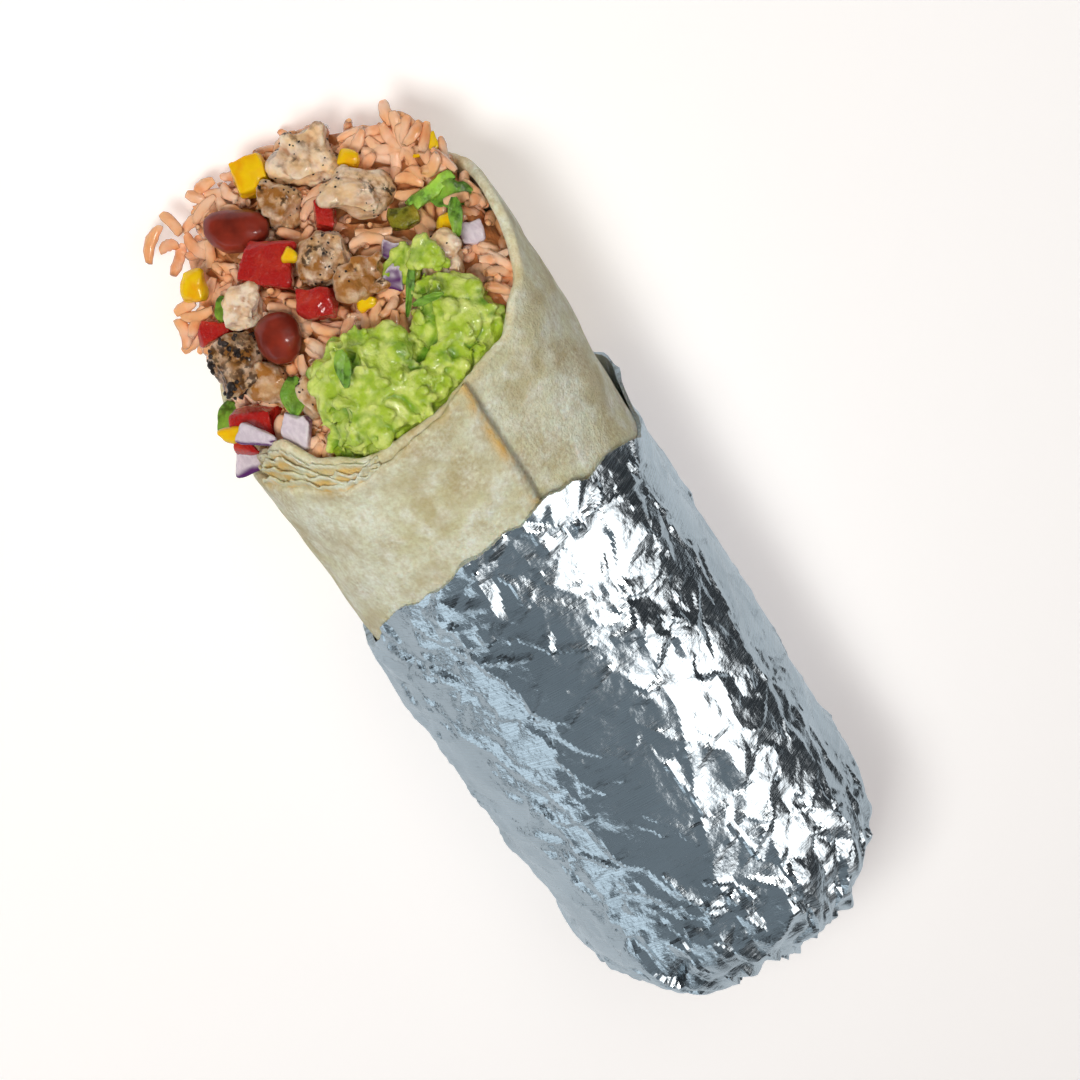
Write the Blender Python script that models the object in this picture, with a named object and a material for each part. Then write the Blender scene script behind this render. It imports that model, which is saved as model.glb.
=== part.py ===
"""A burrito: a rolled flour tortilla, overfilled at its open mouth and wrapped in aluminium foil.

The roll lies along X on the flattened underside of its foil, at z = 0. Its open mouth
faces -X and the foil's closed end is at +X. Every layer of the roll is worked out from
one surface, the outside of the tortilla, and from a distance inside or outside it.
"""

import math
import random

import bmesh
import bpy
from mathutils import Matrix, Vector, noise
from mathutils.bvhtree import BVHTree

MM = 0.001

# The roll. Distances along it start at the top of the tortilla's rim and grow towards the foil's end.
MOUTH_HALF_WIDTH = 38.3 * MM
WAIST_HALF_WIDTH = 36.6 * MM
FAR_HALF_WIDTH = 35.4 * MM
WAIST = 54 * MM
END_START = 138 * MM
END_DEPTH = 27 * MM
HEIGHT_SHARE = 0.94
SINK = 1.2 * MM
UNEVEN = 0.7 * MM
GAP = 0.35 * MM

# How far round the closed end each layer's rings go before its last cap, in degrees.
CAP_TURN = 78

# The tortilla is one sheet, rolled a turn and two fifths from its outer edge inwards. Over the last
# DIVE_TURN of its first turn it dives under its own outer edge.
SHEET = 2.4 * MM
SEAM_ANGLE = 16
TURN_STEP = 15
SHEET_TURN = 510
DIVE_TURN = 60
LAYER_GAP = 2 * GAP

# The rows of the sheet between its uneven rim and the first even ring, as shares of the way.
RIM_SHARES = (0, 0.12, 0.35, 0.65, 1)
RIM_DEPTH = 30 * MM

# How far the rim reaches forward of its top, by the turn from the outer edge in degrees.
RIM_REACH = [
    (0, 2), (18, 0), (40, -3), (53, -5), (75, -2), (106, -1), (136, 14), (196, 30), (256, 30),
    (286, 28), (320, 10), (338, 4), (360, 2), (378, 0), (400, -1), (420, 2), (436, 10), (460, 8), (510, 0),
]

# The foil, and where its front edge lies behind the rim's top, by the angle from the top in degrees.
FOIL = 0.5 * MM
FOIL_GAP = 0.6 * MM
FOIL_STEP = 10
FOIL_EDGE = [
    (-180, 46), (-90, 50), (-42, 36), (-13, 31), (18, 29), (41, 33), (78, 39), (95, 29),
    (108, 27), (125, 40), (180, 46),
]
FOIL_RINGS = (80 * MM, 109 * MM, END_START)
FOLD_HEIGHT = 1.2 * MM
FOLD_LENGTH = 22 * MM
CRUMPLE = 0.6 * MM
PLEATS = 9
PLEAT_HEIGHT = 1.6 * MM
FLAP_ANGLE = 102
FLAP_SPREAD = 12
FLAP_LENGTH = 6 * MM
FLAP_LIFT = 2.5 * MM

# The filling heaps out of the mouth and slopes from the rim's top down to the front.
HEAP_REACH = 48 * MM
HEAP_FRONT_HEIGHT = 9 * MM
HEAP_TOP_HEIGHT = 62 * MM
HEAP_SWELL = 0.8
HEAP_NOSE = 9 * MM
HEAP_ROUGH = 1.3 * MM
HEAP_LUMP = 5 * MM
HEAP_RINGS = (0, 3, 9, 15, 21, 27, 33, 39, 48)
FACE_TILT = 65

# Where the filling comes clear of the sagging lip on the left, by the distance from the rim's top.
LIP_HEIGHT = [(-30 * MM, 5 * MM), (-14 * MM, 20 * MM), (0.0, 38 * MM)]
LIP_FADE = 6 * MM

# The guacamole lies under the top of the tortilla and swells into lobes at the mouth.
SPREAD_FROM, SPREAD_TO = -44, 52
SPREAD_DEPTH = 9 * MM
SPREAD_EDGE = 1 * MM
SPREAD_RINGS = (-5 * MM, 0.0, 12 * MM, 30 * MM, WAIST)
SPREAD_END = 128 * MM
SPREAD_COLUMNS = 9

# The lobes: mm across and down the face, width, length, depth (mm).
LOBES = [
    ("lobe_left", -6, 13, 28, 30, 15),
    ("lobe_right", 16, 16, 20, 26, 14),
]
LOBE_LUMP = 0.28
LOBE_SINK = 0.38

# Name, material, place on the face (mm across, mm down from the rim's top), width, length, depth (mm),
# turn (degrees) and how far the middle stands out of the heap (mm).
MORSELS = [
    ("bean_front", "bean", -12, 58.5, 15.5, 10, 9, 33, 3),
    ("bean_left", "bean", -16.5, 34.5, 10.5, 12, 9, 20, 3),
    ("chicken_top", "chicken", 7.5, 63.5, 14, 12, 11, 20, 2),
    ("chicken_right", "chicken", 13.5, 51, 15, 10, 9, 45, 3),
    ("chicken_small", "chicken", -2.5, 58, 9, 9.5, 8, 50, 1),
    ("chicken_middle", "chicken", 0, 43, 12, 11.5, 9, 25, 2.5),
    ("chicken_brown", "chicken", 4.5, 34, 11, 8.5, 8, 10, 2),
    ("chicken_green", "chicken", 20.5, 28, 8.5, 11, 8, 20, 3.5),
    ("chicken_wedge", "chicken", -19, 44, 7.5, 9.5, 8, 30, 3),
    ("chicken_charred", "chicken", -27.5, 34.5, 11, 12.5, 10, 15, 3),
    ("chicken_low", "chicken", -16.5, 18.5, 9.5, 8, 7, 10, 1),
    ("chicken_skin", "chicken", -24.5, 26.5, 10.5, 7.5, 6, 60, 1),
    ("dice_yellow", "corn", -3.5, 66.5, 8, 8.5, 8, 10, 2),
    ("corn_left", "corn", -26, 53, 6, 8, 6, 30, 4),
    ("corn_top", "corn", 15.5, 57.5, 5.5, 6, 5, 50, 2),
    ("corn_inner", "corn", 25.5, 34.5, 5.5, 5, 5, 20, 2),
    ("tomato_bright", "tomato", -10.5, 48, 12, 10, 9, 40, 2.5),
    ("tomato_middle", "tomato", -6.5, 35, 8.5, 6.5, 7, 30, 2),
    ("tomato_low", "tomato", -31, 20.5, 10, 10, 8, 30, 2.5),
    ("tomato_pale", "tomato", -27.5, 42, 7, 6, 6, 40, 2),
    ("tomato_sliver", "tomato", 5, 50, 4.5, 7, 6, 30, 2),
    ("onion_low", "onion", -24, 15.5, 6.5, 8, 3.5, 40, 2.5),
    ("onion_middle", "onion", 13.5, 36, 6, 4, 3.5, 40, 2),
    ("onion_inner", "onion", 29, 30.5, 5.5, 5.5, 4, 20, 1.5),
    ("pepper_strip", "pepper", 26.5, 42.5, 13, 3.5, 3.5, -8, 2.5),
    ("pepper_olive", "pepper", 19, 41, 7, 5, 4, 20, 1.5),
    ("rice_string", "rice", -22, 67, 14, 6, 5, -10, 1.5),
    ("rice_clump", "rice", -29.5, 48.5, 7, 10, 9, 20, 1),
    ("rice_stalk", "rice", 28, 59, 4, 14, 4, 20, 2.5),
]

# Cuts along each edge of the cage, how round and how rough each kind is, and how far it bends.
SHAPES = {
    "bean": (2, 1.0, 0.02, 0.18),
    "chicken": (1, 0.35, 0.16, 0.0),
    "corn": (1, 0.45, 0.06, 0.0),
    "tomato": (1, 0.15, 0.07, 0.0),
    "onion": (1, 0.3, 0.05, 0.35),
    "pepper": (1, 0.35, 0.06, 0.25),
    "rice": (1, 0.8, 0.2, 0.1),
}

# Base colour (linear), metallic and roughness.
FINISHES = {
    "foil": ((0.62, 0.64, 0.66), 1.0, 0.22),
    "tortilla": ((0.72, 0.61, 0.38), 0.0, 0.75),
    "rice": ((0.84, 0.47, 0.25), 0.0, 0.5),
    "guacamole": ((0.38, 0.55, 0.06), 0.0, 0.4),
    "bean": ((0.19, 0.025, 0.01), 0.0, 0.2),
    "chicken": ((0.62, 0.42, 0.25), 0.0, 0.55),
    "tomato": ((0.55, 0.03, 0.02), 0.0, 0.25),
    "corn": ((0.85, 0.55, 0.03), 0.0, 0.35),
    "onion": ((0.55, 0.40, 0.58), 0.0, 0.3),
    "pepper": ((0.10, 0.25, 0.03), 0.0, 0.35),
}


def eased(stops, value):
    """The size at `value`, eased between the (place, size) stops on either side of it."""
    for (start, low), (end, high) in zip(stops, stops[1:]):
        if value <= end:
            share = max(0.0, (value - start) / (end - start))
            return low + (high - low) * share * share * (3 - 2 * share)
    return stops[-1][1]


def half_width(run):
    """Half the outer width of the tortilla: it flares at the mouth and tapers evenly past the waist."""
    if run > WAIST:
        share = (run - WAIST) / (END_START - WAIST)
        return WAIST_HALF_WIDTH + (FAR_HALF_WIDTH - WAIST_HALF_WIDTH) * share
    return eased([(0.0, MOUTH_HALF_WIDTH), (WAIST, WAIST_HALF_WIDTH)], run)


def unevenness(run, angle):
    """The slow swells of a hand-rolled mouth, which fade out at the waist and on the underside."""
    swell = noise.noise(Vector((run / (45 * MM), 1.6 * math.sin(angle), 1.6 * math.cos(angle))))
    fade = min(1.0, max(0.0, 0.8 + math.cos(angle))) * max(0.0, 1 - max(0.0, run) / WAIST)
    return UNEVEN * swell * fade


def centre_height():
    """The height of the roll's middle line, which lets its underside flatten by SINK."""
    return HEIGHT_SHARE * WAIST_HALF_WIDTH + FOIL + FOIL_GAP - SINK


def roll_point(run, degrees, offset):
    """A point `offset` outside the tortilla. Past END_START the run turns round the closed end."""
    angle = math.radians(degrees)
    end_turn = max(0.0, run - END_START) / END_DEPTH * math.pi / 2
    straight = min(run, END_START)
    reach = half_width(straight) + unevenness(straight, angle)
    width = (reach + offset) * math.cos(end_turn)
    height = (HEIGHT_SHARE * reach + offset) * math.cos(end_turn)
    x = straight + (END_DEPTH + offset) * math.sin(end_turn)
    z = centre_height() + height * math.cos(angle)
    return Vector((x, width * math.sin(angle), max(z, FOIL + FOIL_GAP - offset)))


def end_runs(count):
    """Runs round the closed end, at `count` even turns up to the last."""
    return [END_START + END_DEPTH * CAP_TURN / 90 * (i + 1) / count for i in range(count)]


def layer_offset(turn):
    """How far the sheet's outer face lies inside the roll's outside, by its turn from the outer edge."""
    return -eased([(360 - DIVE_TURN, 0.0), (360, SHEET + LAYER_GAP)], turn)


def inner_offset(degrees):
    """The offset of the filling: a gap inside the innermost layer, and clear of the sheet's inner edge."""
    turn = (SEAM_ANGLE - degrees) % 360
    if turn + 360 <= SHEET_TURN + TURN_STEP or turn > 360 - TURN_STEP:
        turn += 360
    return layer_offset(turn) - SHEET - 2 * GAP


def closed_mesh(name, verts, faces):
    """A mesh of one closed body with its faces turned outwards."""
    mesh = bpy.data.meshes.new(name)
    mesh.from_pydata([tuple(v) for v in verts], [], faces)
    shape = bmesh.new()
    shape.from_mesh(mesh)
    bmesh.ops.recalc_face_normals(shape, faces=shape.faces)
    shape.to_mesh(mesh)
    shape.free()
    return mesh


def add_object(name, mesh, finish):
    """Adds a mesh to the burrito's collection with a material of its own."""
    mesh.shade_smooth()
    mesh.set_sharp_from_angle(angle=math.radians(35))
    body = bpy.data.objects.new(name, mesh)
    colour, metallic, roughness = FINISHES[finish]
    material = bpy.data.materials.new(name)
    material.use_nodes = True
    shader = material.node_tree.nodes["Principled BSDF"]
    shader.inputs["Base Color"].default_value = (*colour, 1)
    shader.inputs["Metallic"].default_value = metallic
    shader.inputs["Roughness"].default_value = roughness
    material.diffuse_color = (*colour, 1)
    mesh.materials.append(material)
    bpy.data.collections["burrito"].objects.link(body)
    return body


def loft_rings(rings, pole=None):
    """Vertices and faces of closed rings joined in a row, capped flat, or by a fan to `pole` at the end."""
    size = len(rings[0])
    verts = [point for ring in rings for point in ring]
    faces = []
    for row in range(len(rings) - 1):
        for column in range(size):
            after = (column + 1) % size
            low, high = row * size, (row + 1) * size
            faces.append((low + column, low + after, high + after, high + column))
    last = (len(rings) - 1) * size
    faces.append(tuple(range(size)))
    if pole is None:
        faces.append(tuple(range(last, last + size)))
    else:
        verts.append(pole)
        faces += [(last + i, last + (i + 1) % size, len(verts) - 1) for i in range(size)]
    return verts, faces


def loft_sheet(outer, inner):
    """Vertices and faces of a thick sheet between two grids of points, closed round its four edges."""
    rows, columns = len(outer), len(outer[0])
    verts = [point for grid in (outer, inner) for row in grid for point in row]
    below = rows * columns
    faces = []
    for row in range(rows - 1):
        for column in range(columns - 1):
            corner = row * columns + column
            quad = (corner, corner + 1, corner + columns + 1, corner + columns)
            faces.append(quad)
            faces.append(tuple(below + i for i in quad))
    border = [column for column in range(columns)]
    border += [row * columns + columns - 1 for row in range(1, rows)]
    border += [(rows - 1) * columns + column for column in range(columns - 2, -1, -1)]
    border += [row * columns for row in range(rows - 2, 0, -1)]
    for i, j in zip(border, border[1:] + border[:1]):
        faces.append((i, j, below + j, below + i))
    return verts, faces


def tortilla_rows(turns, margin):
    """Rows of runs, one for each turn: from the uneven rim to the first even ring, then on to the end."""
    rims = [-eased(RIM_REACH, turn) * MM - margin for turn in turns]
    rows = [[rim + (RIM_DEPTH - rim) * share for rim in rims] for share in RIM_SHARES]
    return rows + [[run] * len(turns) for run in [WAIST, END_START] + end_runs(3)]


def tortilla_mesh(name, margin):
    """The rolled sheet, made thicker by `margin` all round."""
    turns = range(0, SHEET_TURN + 1, TURN_STEP)
    outer, inner = [], []
    for runs in tortilla_rows(turns, margin):
        places = [(run, SEAM_ANGLE - turn, layer_offset(turn)) for run, turn in zip(runs, turns)]
        outer.append([roll_point(run, angle, offset + margin) for run, angle, offset in places])
        inner.append([roll_point(run, angle, offset - SHEET - margin) for run, angle, offset in places])
    return closed_mesh(name, *loft_sheet(outer, inner))


def make_tortilla():
    add_object("tortilla", tortilla_mesh("tortilla", 0.0), "tortilla")


def foil_folds(run, degrees, seed):
    """How far the foil stands off the tortilla: broad folds, crumples and pleats gathered at the end."""
    angle = math.radians(degrees)
    side = min(1.0, max(0.0, 1.5 + 2 * math.cos(angle)))
    round_roll = Vector((run / FOLD_LENGTH + angle, 1.8 * math.cos(angle), 1.8 * math.sin(angle)))
    fold = abs(noise.noise(round_roll))
    pleat = max(0.0, run - END_START) / END_DEPTH * abs(math.sin(PLEATS * angle / 2 + 3 * run / END_START))
    return side * (FOLD_HEIGHT * fold + CRUMPLE * seed.random() + PLEAT_HEIGHT * pleat)


def make_foil():
    """The foil is a cup round the tortilla: its inside and outside are joined at the torn front edge.

    Near its front edge one fold stands off the tortilla as a small flap.
    """
    seed = random.Random(4)
    angles = range(-180, 180, FOIL_STEP)
    edges = [eased(FOIL_EDGE, degrees) * MM + seed.uniform(-0.8, 0.8) * MM for degrees in angles]
    rows = [[edge + (WAIST - edge) * share for edge in edges] for share in (0, 0.3, 0.65, 1)]
    rows += [[run] * len(edges) for run in [*FOIL_RINGS, *end_runs(6)]]
    inner, outer = [], []
    for row in rows:
        inside, outside = [], []
        for run, edge, degrees in zip(row, edges, angles):
            flap = math.exp(-((degrees - FLAP_ANGLE) / FLAP_SPREAD) ** 2 - (run - edge) / FLAP_LENGTH)
            lift = foil_folds(run, degrees, seed) + FLAP_LIFT * flap
            inside.append(roll_point(run, degrees, FOIL_GAP + lift))
            outside.append(roll_point(run, degrees, FOIL_GAP + lift + FOIL))
        inner.append(inside)
        outer.append(outside)
    pole_run = END_START + END_DEPTH
    rings = outer[::-1] + inner
    verts, faces = loft_rings(rings, roll_point(pole_run, 0, FOIL_GAP))
    faces.remove(tuple(range(len(angles))))
    verts.append(roll_point(pole_run, 0, FOIL_GAP + FOIL + PLEAT_HEIGHT / 2))
    faces += [(i, (i + 1) % len(angles), len(verts) - 1) for i in range(len(angles))]
    add_object("foil_wrap", closed_mesh("foil_wrap", verts, faces), "foil")


def heap_height(run):
    """The height of the heap's ridge in front of the rim."""
    share = min(1.0, max(0.0, (run + HEAP_REACH) / HEAP_REACH))
    return HEAP_FRONT_HEIGHT + (HEAP_TOP_HEIGHT - HEAP_FRONT_HEIGHT) * share ** HEAP_SWELL


def heap_point(run, degrees):
    """A point of the filling: inside the tortilla, or sloping down and rounding in front of it."""
    inside = roll_point(run, degrees, inner_offset(degrees))
    if run >= 0:
        return inside
    bed = roll_point(run, 180, inner_offset(180)).z
    top = roll_point(run, 0, inner_offset(0)).z
    z = bed + (inside.z - bed) * (heap_height(run) - bed) / (top - bed)
    below_middle = min(0.0, z - centre_height())
    tall = HEIGHT_SHARE * MOUTH_HALF_WIDTH + inner_offset(180)
    full = abs(roll_point(run, 90, inner_offset(90)).y)
    cradle = full * math.sqrt(max(0.0, 1 - (below_middle / tall) ** 2))
    if degrees < 0:
        clear = min(1.0, max(0.0, (z - eased(LIP_HEIGHT, run)) / LIP_FADE))
        cradle += (full - cradle) * clear
    nose = max(0.0, -run - HEAP_REACH + HEAP_NOSE) / HEAP_NOSE
    round_off = math.sqrt(1 - 0.8 * nose * nose)
    y = math.copysign(min(abs(inside.y), cradle), inside.y) * round_off
    return Vector((run, y, z))


def make_rice():
    """The rice runs through the whole roll and heaps up unevenly at the mouth."""
    angles = range(SEAM_ANGLE - 360, SEAM_ANGLE, TURN_STEP)
    angles = [degrees + 360 if degrees < -180 else degrees for degrees in angles]
    runs = [-HEAP_REACH + step * MM for step in HEAP_RINGS]
    runs += [10 * MM, RIM_DEPTH, WAIST, END_START, *end_runs(3)]
    rings = []
    for run in runs:
        ring = []
        for degrees in angles:
            point = heap_point(run, degrees)
            if run < 0 and abs(degrees) < 100:
                rough = noise.noise(point / HEAP_LUMP) * HEAP_ROUGH
                point += face_normal() * rough * min(1.0, (run + HEAP_REACH) / HEAP_NOSE)
            ring.append(point)
        rings.append(ring)
    pole = roll_point(END_START + END_DEPTH, 0, 2 * inner_offset(0))
    return add_object("rice_filling", closed_mesh("rice_filling", *loft_rings(rings, pole)), "rice")


def face_normal():
    """The way the open face looks: up and out of the mouth."""
    tilt = math.radians(FACE_TILT)
    return Vector((-math.cos(tilt), 0, math.sin(tilt)))


def face_place(surface, across, down):
    """The point of the heap at mm across and mm down its face from the top of the rim."""
    normal = face_normal()
    up_face = Vector((normal.z, 0, -normal.x))
    rim_top = roll_point(0.0, 0, 0.0)
    start = rim_top + Vector((0, across * MM, 0)) - up_face * down * MM
    hit, way, _, _ = surface.ray_cast(start + normal, -normal)
    if hit is None:
        hit, way, _, _ = surface.find_nearest(start)
    return hit, way


def face_frame(facing):
    """Axes for a piece on the face: across the roll, up the face to the rim, and out of the heap."""
    upward = facing.cross(Vector((0, -1, 0))).normalized()
    return Matrix((upward.cross(facing), upward, facing)).transposed()


def morsel_mesh(name, kind, size):
    """A rounded, roughened block: the cage is a cube whose corners are drawn towards a sphere."""
    cuts, roundness, rough, bend = SHAPES[kind]
    seed = Vector((size.x * 900, size.y * 700, 0))
    shape = bmesh.new()
    bmesh.ops.create_cube(shape, size=1)
    bmesh.ops.subdivide_edges(shape, edges=shape.edges, cuts=cuts, use_grid_fill=True)
    for vert in shape.verts:
        ball = vert.co.normalized() * 0.5
        vert.co = vert.co.lerp(ball, roundness if vert.co.length > 0.55 else roundness * 0.6)
        vert.co *= 1 + rough * 2 * noise.noise(vert.co * 3.1 + seed)
        vert.co.y += bend * (0.25 - vert.co.x ** 2) * 2
    bmesh.ops.scale(shape, verts=shape.verts, vec=size)
    bmesh.ops.triangulate(shape, faces=shape.faces)
    mesh = bpy.data.meshes.new(name)
    shape.to_mesh(mesh)
    shape.free()
    return mesh


def add_cutter(name, mesh):
    """A hidden object that cuts or joins its neighbours."""
    cutter = bpy.data.objects.new(name, mesh)
    bpy.data.collections["cutters"].objects.link(cutter)
    cutter.hide_render = True
    cutter.display_type = "WIRE"
    return cutter


def grown_cutter(piece):
    """A copy of a piece that stands a gap outside it, for cutting its neighbours."""
    cutter = add_cutter(piece.name + "_cutter", piece.data)
    cutter.matrix_world = piece.matrix_world.copy()
    cutter.scale = [1 + 2 * GAP / side for side in piece.dimensions]
    return cutter


def combine(body, cutter, operation):
    """Cuts or joins with the manifold solver, which stays sound through a long chain of small cuts."""
    boolean = body.modifiers.new(cutter.name, "BOOLEAN")
    boolean.operation = operation
    boolean.solver = "MANIFOLD"
    boolean.object = cutter


def place_morsel(surface, name, kind, across, down, width, length, depth, turn, stand):
    """Lays one morsel on the heap, its flat side along the face and turned about it."""
    hit, way = face_place(surface, across, down)
    facing = (face_normal() * 2 + way).normalized()
    size = Vector((width, length, depth)) * MM
    piece = add_object(name, morsel_mesh(name, kind, size), kind)
    spin = face_frame(facing) @ Matrix.Rotation(math.radians(-turn), 3, "Z")
    piece.matrix_world = Matrix.Translation(hit + facing * stand * MM) @ spin.to_4x4()
    return piece


def make_morsels(surface):
    """Every morsel, each cut clear of those listed before it."""
    pieces = []
    cutters = []
    for row in MORSELS:
        piece = place_morsel(surface, *row)
        bpy.context.view_layer.update()
        for other, cutter in zip(pieces, cutters):
            reach = (piece.dimensions.length + other.dimensions.length) / 2
            if (piece.location - other.location).length < reach:
                combine(piece, cutter, "DIFFERENCE")
        pieces.append(piece)
        cutters.append(grown_cutter(piece))
    return pieces, cutters


def spread_mesh(name, margin):
    """The layer of guacamole, thick in the middle and thin at both sides, made thicker by `margin`."""
    rings = []
    for run in [*SPREAD_RINGS, SPREAD_END + margin]:
        top, bottom = [], []
        for column in range(SPREAD_COLUMNS):
            share = column / (SPREAD_COLUMNS - 1)
            degrees = SPREAD_FROM + (SPREAD_TO - SPREAD_FROM) * share
            degrees += math.copysign(margin / MM, share - 0.5)
            offset = inner_offset(degrees) + margin
            depth = SPREAD_DEPTH * math.sin(math.pi * share) + SPREAD_EDGE + 2 * margin
            top.append(roll_point(run, degrees, offset + 2 * margin))
            bottom.append(roll_point(run, degrees, offset - depth))
        rings.append(top + bottom[::-1])
    return closed_mesh(name, *loft_rings(rings))


def make_lobe(name, surface, across, down, width, length, depth):
    """A scoop of guacamole pressed out at the mouth, with a lumpy surface."""
    hit, _ = face_place(surface, across, down)
    shape = bmesh.new()
    bmesh.ops.create_icosphere(shape, subdivisions=3, radius=0.5)
    for vert in shape.verts:
        vert.co *= 1 + LOBE_LUMP * noise.noise(vert.co * 5 + Vector((across, down, 0)))
    bmesh.ops.scale(shape, verts=shape.verts, vec=Vector((width, length, depth)) * MM)
    mesh = bpy.data.meshes.new(name)
    shape.to_mesh(mesh)
    shape.free()
    lobe = add_cutter(name, mesh)
    frame = face_frame(face_normal()).to_4x4()
    lobe.matrix_world = Matrix.Translation(hit + face_normal() * depth * (0.5 - LOBE_SINK) * MM) @ frame
    return lobe


def make_guacamole(surface):
    """The layer that runs through under the tortilla's top, joined to the lobes at the mouth."""
    layer = add_object("guacamole", spread_mesh("guacamole", 0.0), "guacamole")
    cutters = [add_cutter("spread_cutter", spread_mesh("spread_cutter", GAP))]
    for name, *place in LOBES:
        lobe = make_lobe(name, surface, *place)
        combine(layer, lobe, "UNION")
        bpy.context.view_layer.update()
        cutters.append(grown_cutter(lobe))
    return layer, cutters


def stand_on_origin(body):
    """Moves the burrito so that the middle of the underside of its box is the origin."""
    bpy.context.view_layer.update()
    depsgraph = bpy.context.evaluated_depsgraph_get()
    corners = []
    for piece in body.children:
        mesh = piece.evaluated_get(depsgraph).to_mesh()
        corners += [piece.matrix_world @ vert.co for vert in mesh.vertices]
    low = [min(corner[axis] for corner in corners) for axis in range(3)]
    high = [max(corner[axis] for corner in corners) for axis in range(3)]
    body.location = (-(low[0] + high[0]) / 2, -(low[1] + high[1]) / 2, -low[2])


def main():
    for old in list(bpy.data.objects):
        bpy.data.objects.remove(old)
    for name in ("burrito", "cutters"):
        bpy.context.scene.collection.children.link(bpy.data.collections.new(name))
    make_foil()
    make_tortilla()
    rice = make_rice()
    surface = BVHTree.FromObject(rice, bpy.context.evaluated_depsgraph_get())
    pieces, cutters = make_morsels(surface)
    guacamole, spread_cutters = make_guacamole(surface)
    wall = add_cutter("tortilla_cutter", tortilla_mesh("tortilla_cutter", 0.8 * GAP))
    for filling in [rice, guacamole] + pieces:
        combine(filling, wall, "DIFFERENCE")
    for cutter in cutters:
        combine(guacamole, cutter, "DIFFERENCE")
    for cutter in spread_cutters + cutters:
        combine(rice, cutter, "DIFFERENCE")
    root = bpy.data.objects.new("burrito", None)
    bpy.data.collections["burrito"].objects.link(root)
    for name in ("burrito", "cutters"):
        for part in bpy.data.collections[name].objects:
            if part is not root:
                part.parent = root
    stand_on_origin(root)


main()
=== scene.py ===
"""The looks of a burrito: rice, chicken, beans, vegetables and guacamole in a tortilla and kitchen foil."""

import math

import bmesh
import bpy
import numpy as np
from bpy.props import FloatProperty, FloatVectorProperty, IntProperty, PointerProperty
from mathutils import Matrix, Vector, geometry, noise
from mathutils.bvhtree import BVHTree


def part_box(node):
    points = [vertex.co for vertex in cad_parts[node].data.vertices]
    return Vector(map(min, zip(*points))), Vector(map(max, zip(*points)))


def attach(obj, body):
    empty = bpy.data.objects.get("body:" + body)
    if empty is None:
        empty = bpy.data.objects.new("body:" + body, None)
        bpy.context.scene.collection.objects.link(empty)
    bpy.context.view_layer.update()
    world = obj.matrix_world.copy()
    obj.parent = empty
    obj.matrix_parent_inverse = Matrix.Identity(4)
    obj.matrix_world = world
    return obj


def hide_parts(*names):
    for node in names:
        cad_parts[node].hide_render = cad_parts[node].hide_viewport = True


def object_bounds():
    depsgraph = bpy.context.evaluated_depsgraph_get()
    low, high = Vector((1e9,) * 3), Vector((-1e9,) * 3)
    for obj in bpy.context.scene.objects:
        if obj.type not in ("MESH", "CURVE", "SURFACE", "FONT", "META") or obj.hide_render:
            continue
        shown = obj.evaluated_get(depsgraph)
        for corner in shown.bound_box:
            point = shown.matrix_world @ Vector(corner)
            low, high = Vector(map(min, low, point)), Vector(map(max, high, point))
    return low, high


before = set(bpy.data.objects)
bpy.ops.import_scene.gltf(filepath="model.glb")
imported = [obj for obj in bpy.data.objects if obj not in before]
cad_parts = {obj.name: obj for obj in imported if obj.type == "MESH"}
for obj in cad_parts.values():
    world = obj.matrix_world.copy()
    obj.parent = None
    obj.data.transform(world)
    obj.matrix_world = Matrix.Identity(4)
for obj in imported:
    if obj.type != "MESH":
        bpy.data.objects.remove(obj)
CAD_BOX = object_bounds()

bl_info = {
    "name": "Foil-wrapped burrito",
    "version": (1, 0, 0),
    "blender": (4, 5, 0),
    "location": "3D View > Sidebar > Burrito",
    "description": "Dresses the burrito's solids with tortilla, foil and filling",
    "category": "Object",
}

MM = 0.001

# The roll, as its solids are made. Runs start at the top of the tortilla's rim and grow to the foil's end.
MOUTH_HALF_WIDTH = 38.3 * MM
WAIST_HALF_WIDTH = 36.6 * MM
FAR_HALF_WIDTH = 35.4 * MM
WAIST = 54 * MM
END_START = 138 * MM
END_DEPTH = 27 * MM
HEIGHT_SHARE = 0.94
SINK = 1.2 * MM
UNEVEN = 0.7 * MM
GAP = 0.35 * MM
SEAM_ANGLE = 16
SHEET_TURN = 510
DIVE_TURN = 60
FOIL_GAP = 0.6 * MM
FOIL_SOLID = 0.5 * MM
RIM_FORWARD = 30 * MM

# How far the rim reaches forward of its top, by the turn from the outer edge in degrees.
RIM_REACH = [
    (0, 2), (18, 0), (40, -3), (53, -5), (75, -2), (106, -1), (136, 14), (196, 30), (256, 30),
    (286, 28), (320, 10), (338, 4), (360, 2), (378, 0), (400, -1), (418, 2), (434, 8), (450, 5), (468, 2), (510, 0),
]

# Where the foil's front edge lies behind the rim's top, by the angle from the top in degrees.
FOIL_EDGE = [
    (-180, 46), (-90, 50), (-42, 36), (-13, 31), (18, 29), (41, 33), (78, 39), (95, 29),
    (108, 27), (125, 40), (180, 46),
]
FLAP_ANGLE = 102
FLAP_SPREAD = 12
FLAP_LENGTH = 6 * MM
FLAP_LIFT = 2.5 * MM


def linear(code, alpha=True):
    """An sRGB hex colour such as "#d7d0aa" as linear red, green, blue and alpha."""
    shares = [int(code[i:i + 2], 16) / 255 for i in (1, 3, 5)]
    colour = [s / 12.92 if s <= 0.04045 else ((s + 0.055) / 1.055) ** 2.4 for s in shares]
    return (*colour, 1.0) if alpha else tuple(colour)


def colour_property(name, code, description):
    return FloatVectorProperty(name=name, description=description, subtype="COLOR", size=4,
                               min=0, max=1, default=linear(code))


def length_property(name, millimetres, description):
    return FloatProperty(name=name, description=description, default=millimetres * MM, min=0, unit="LENGTH")


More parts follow.
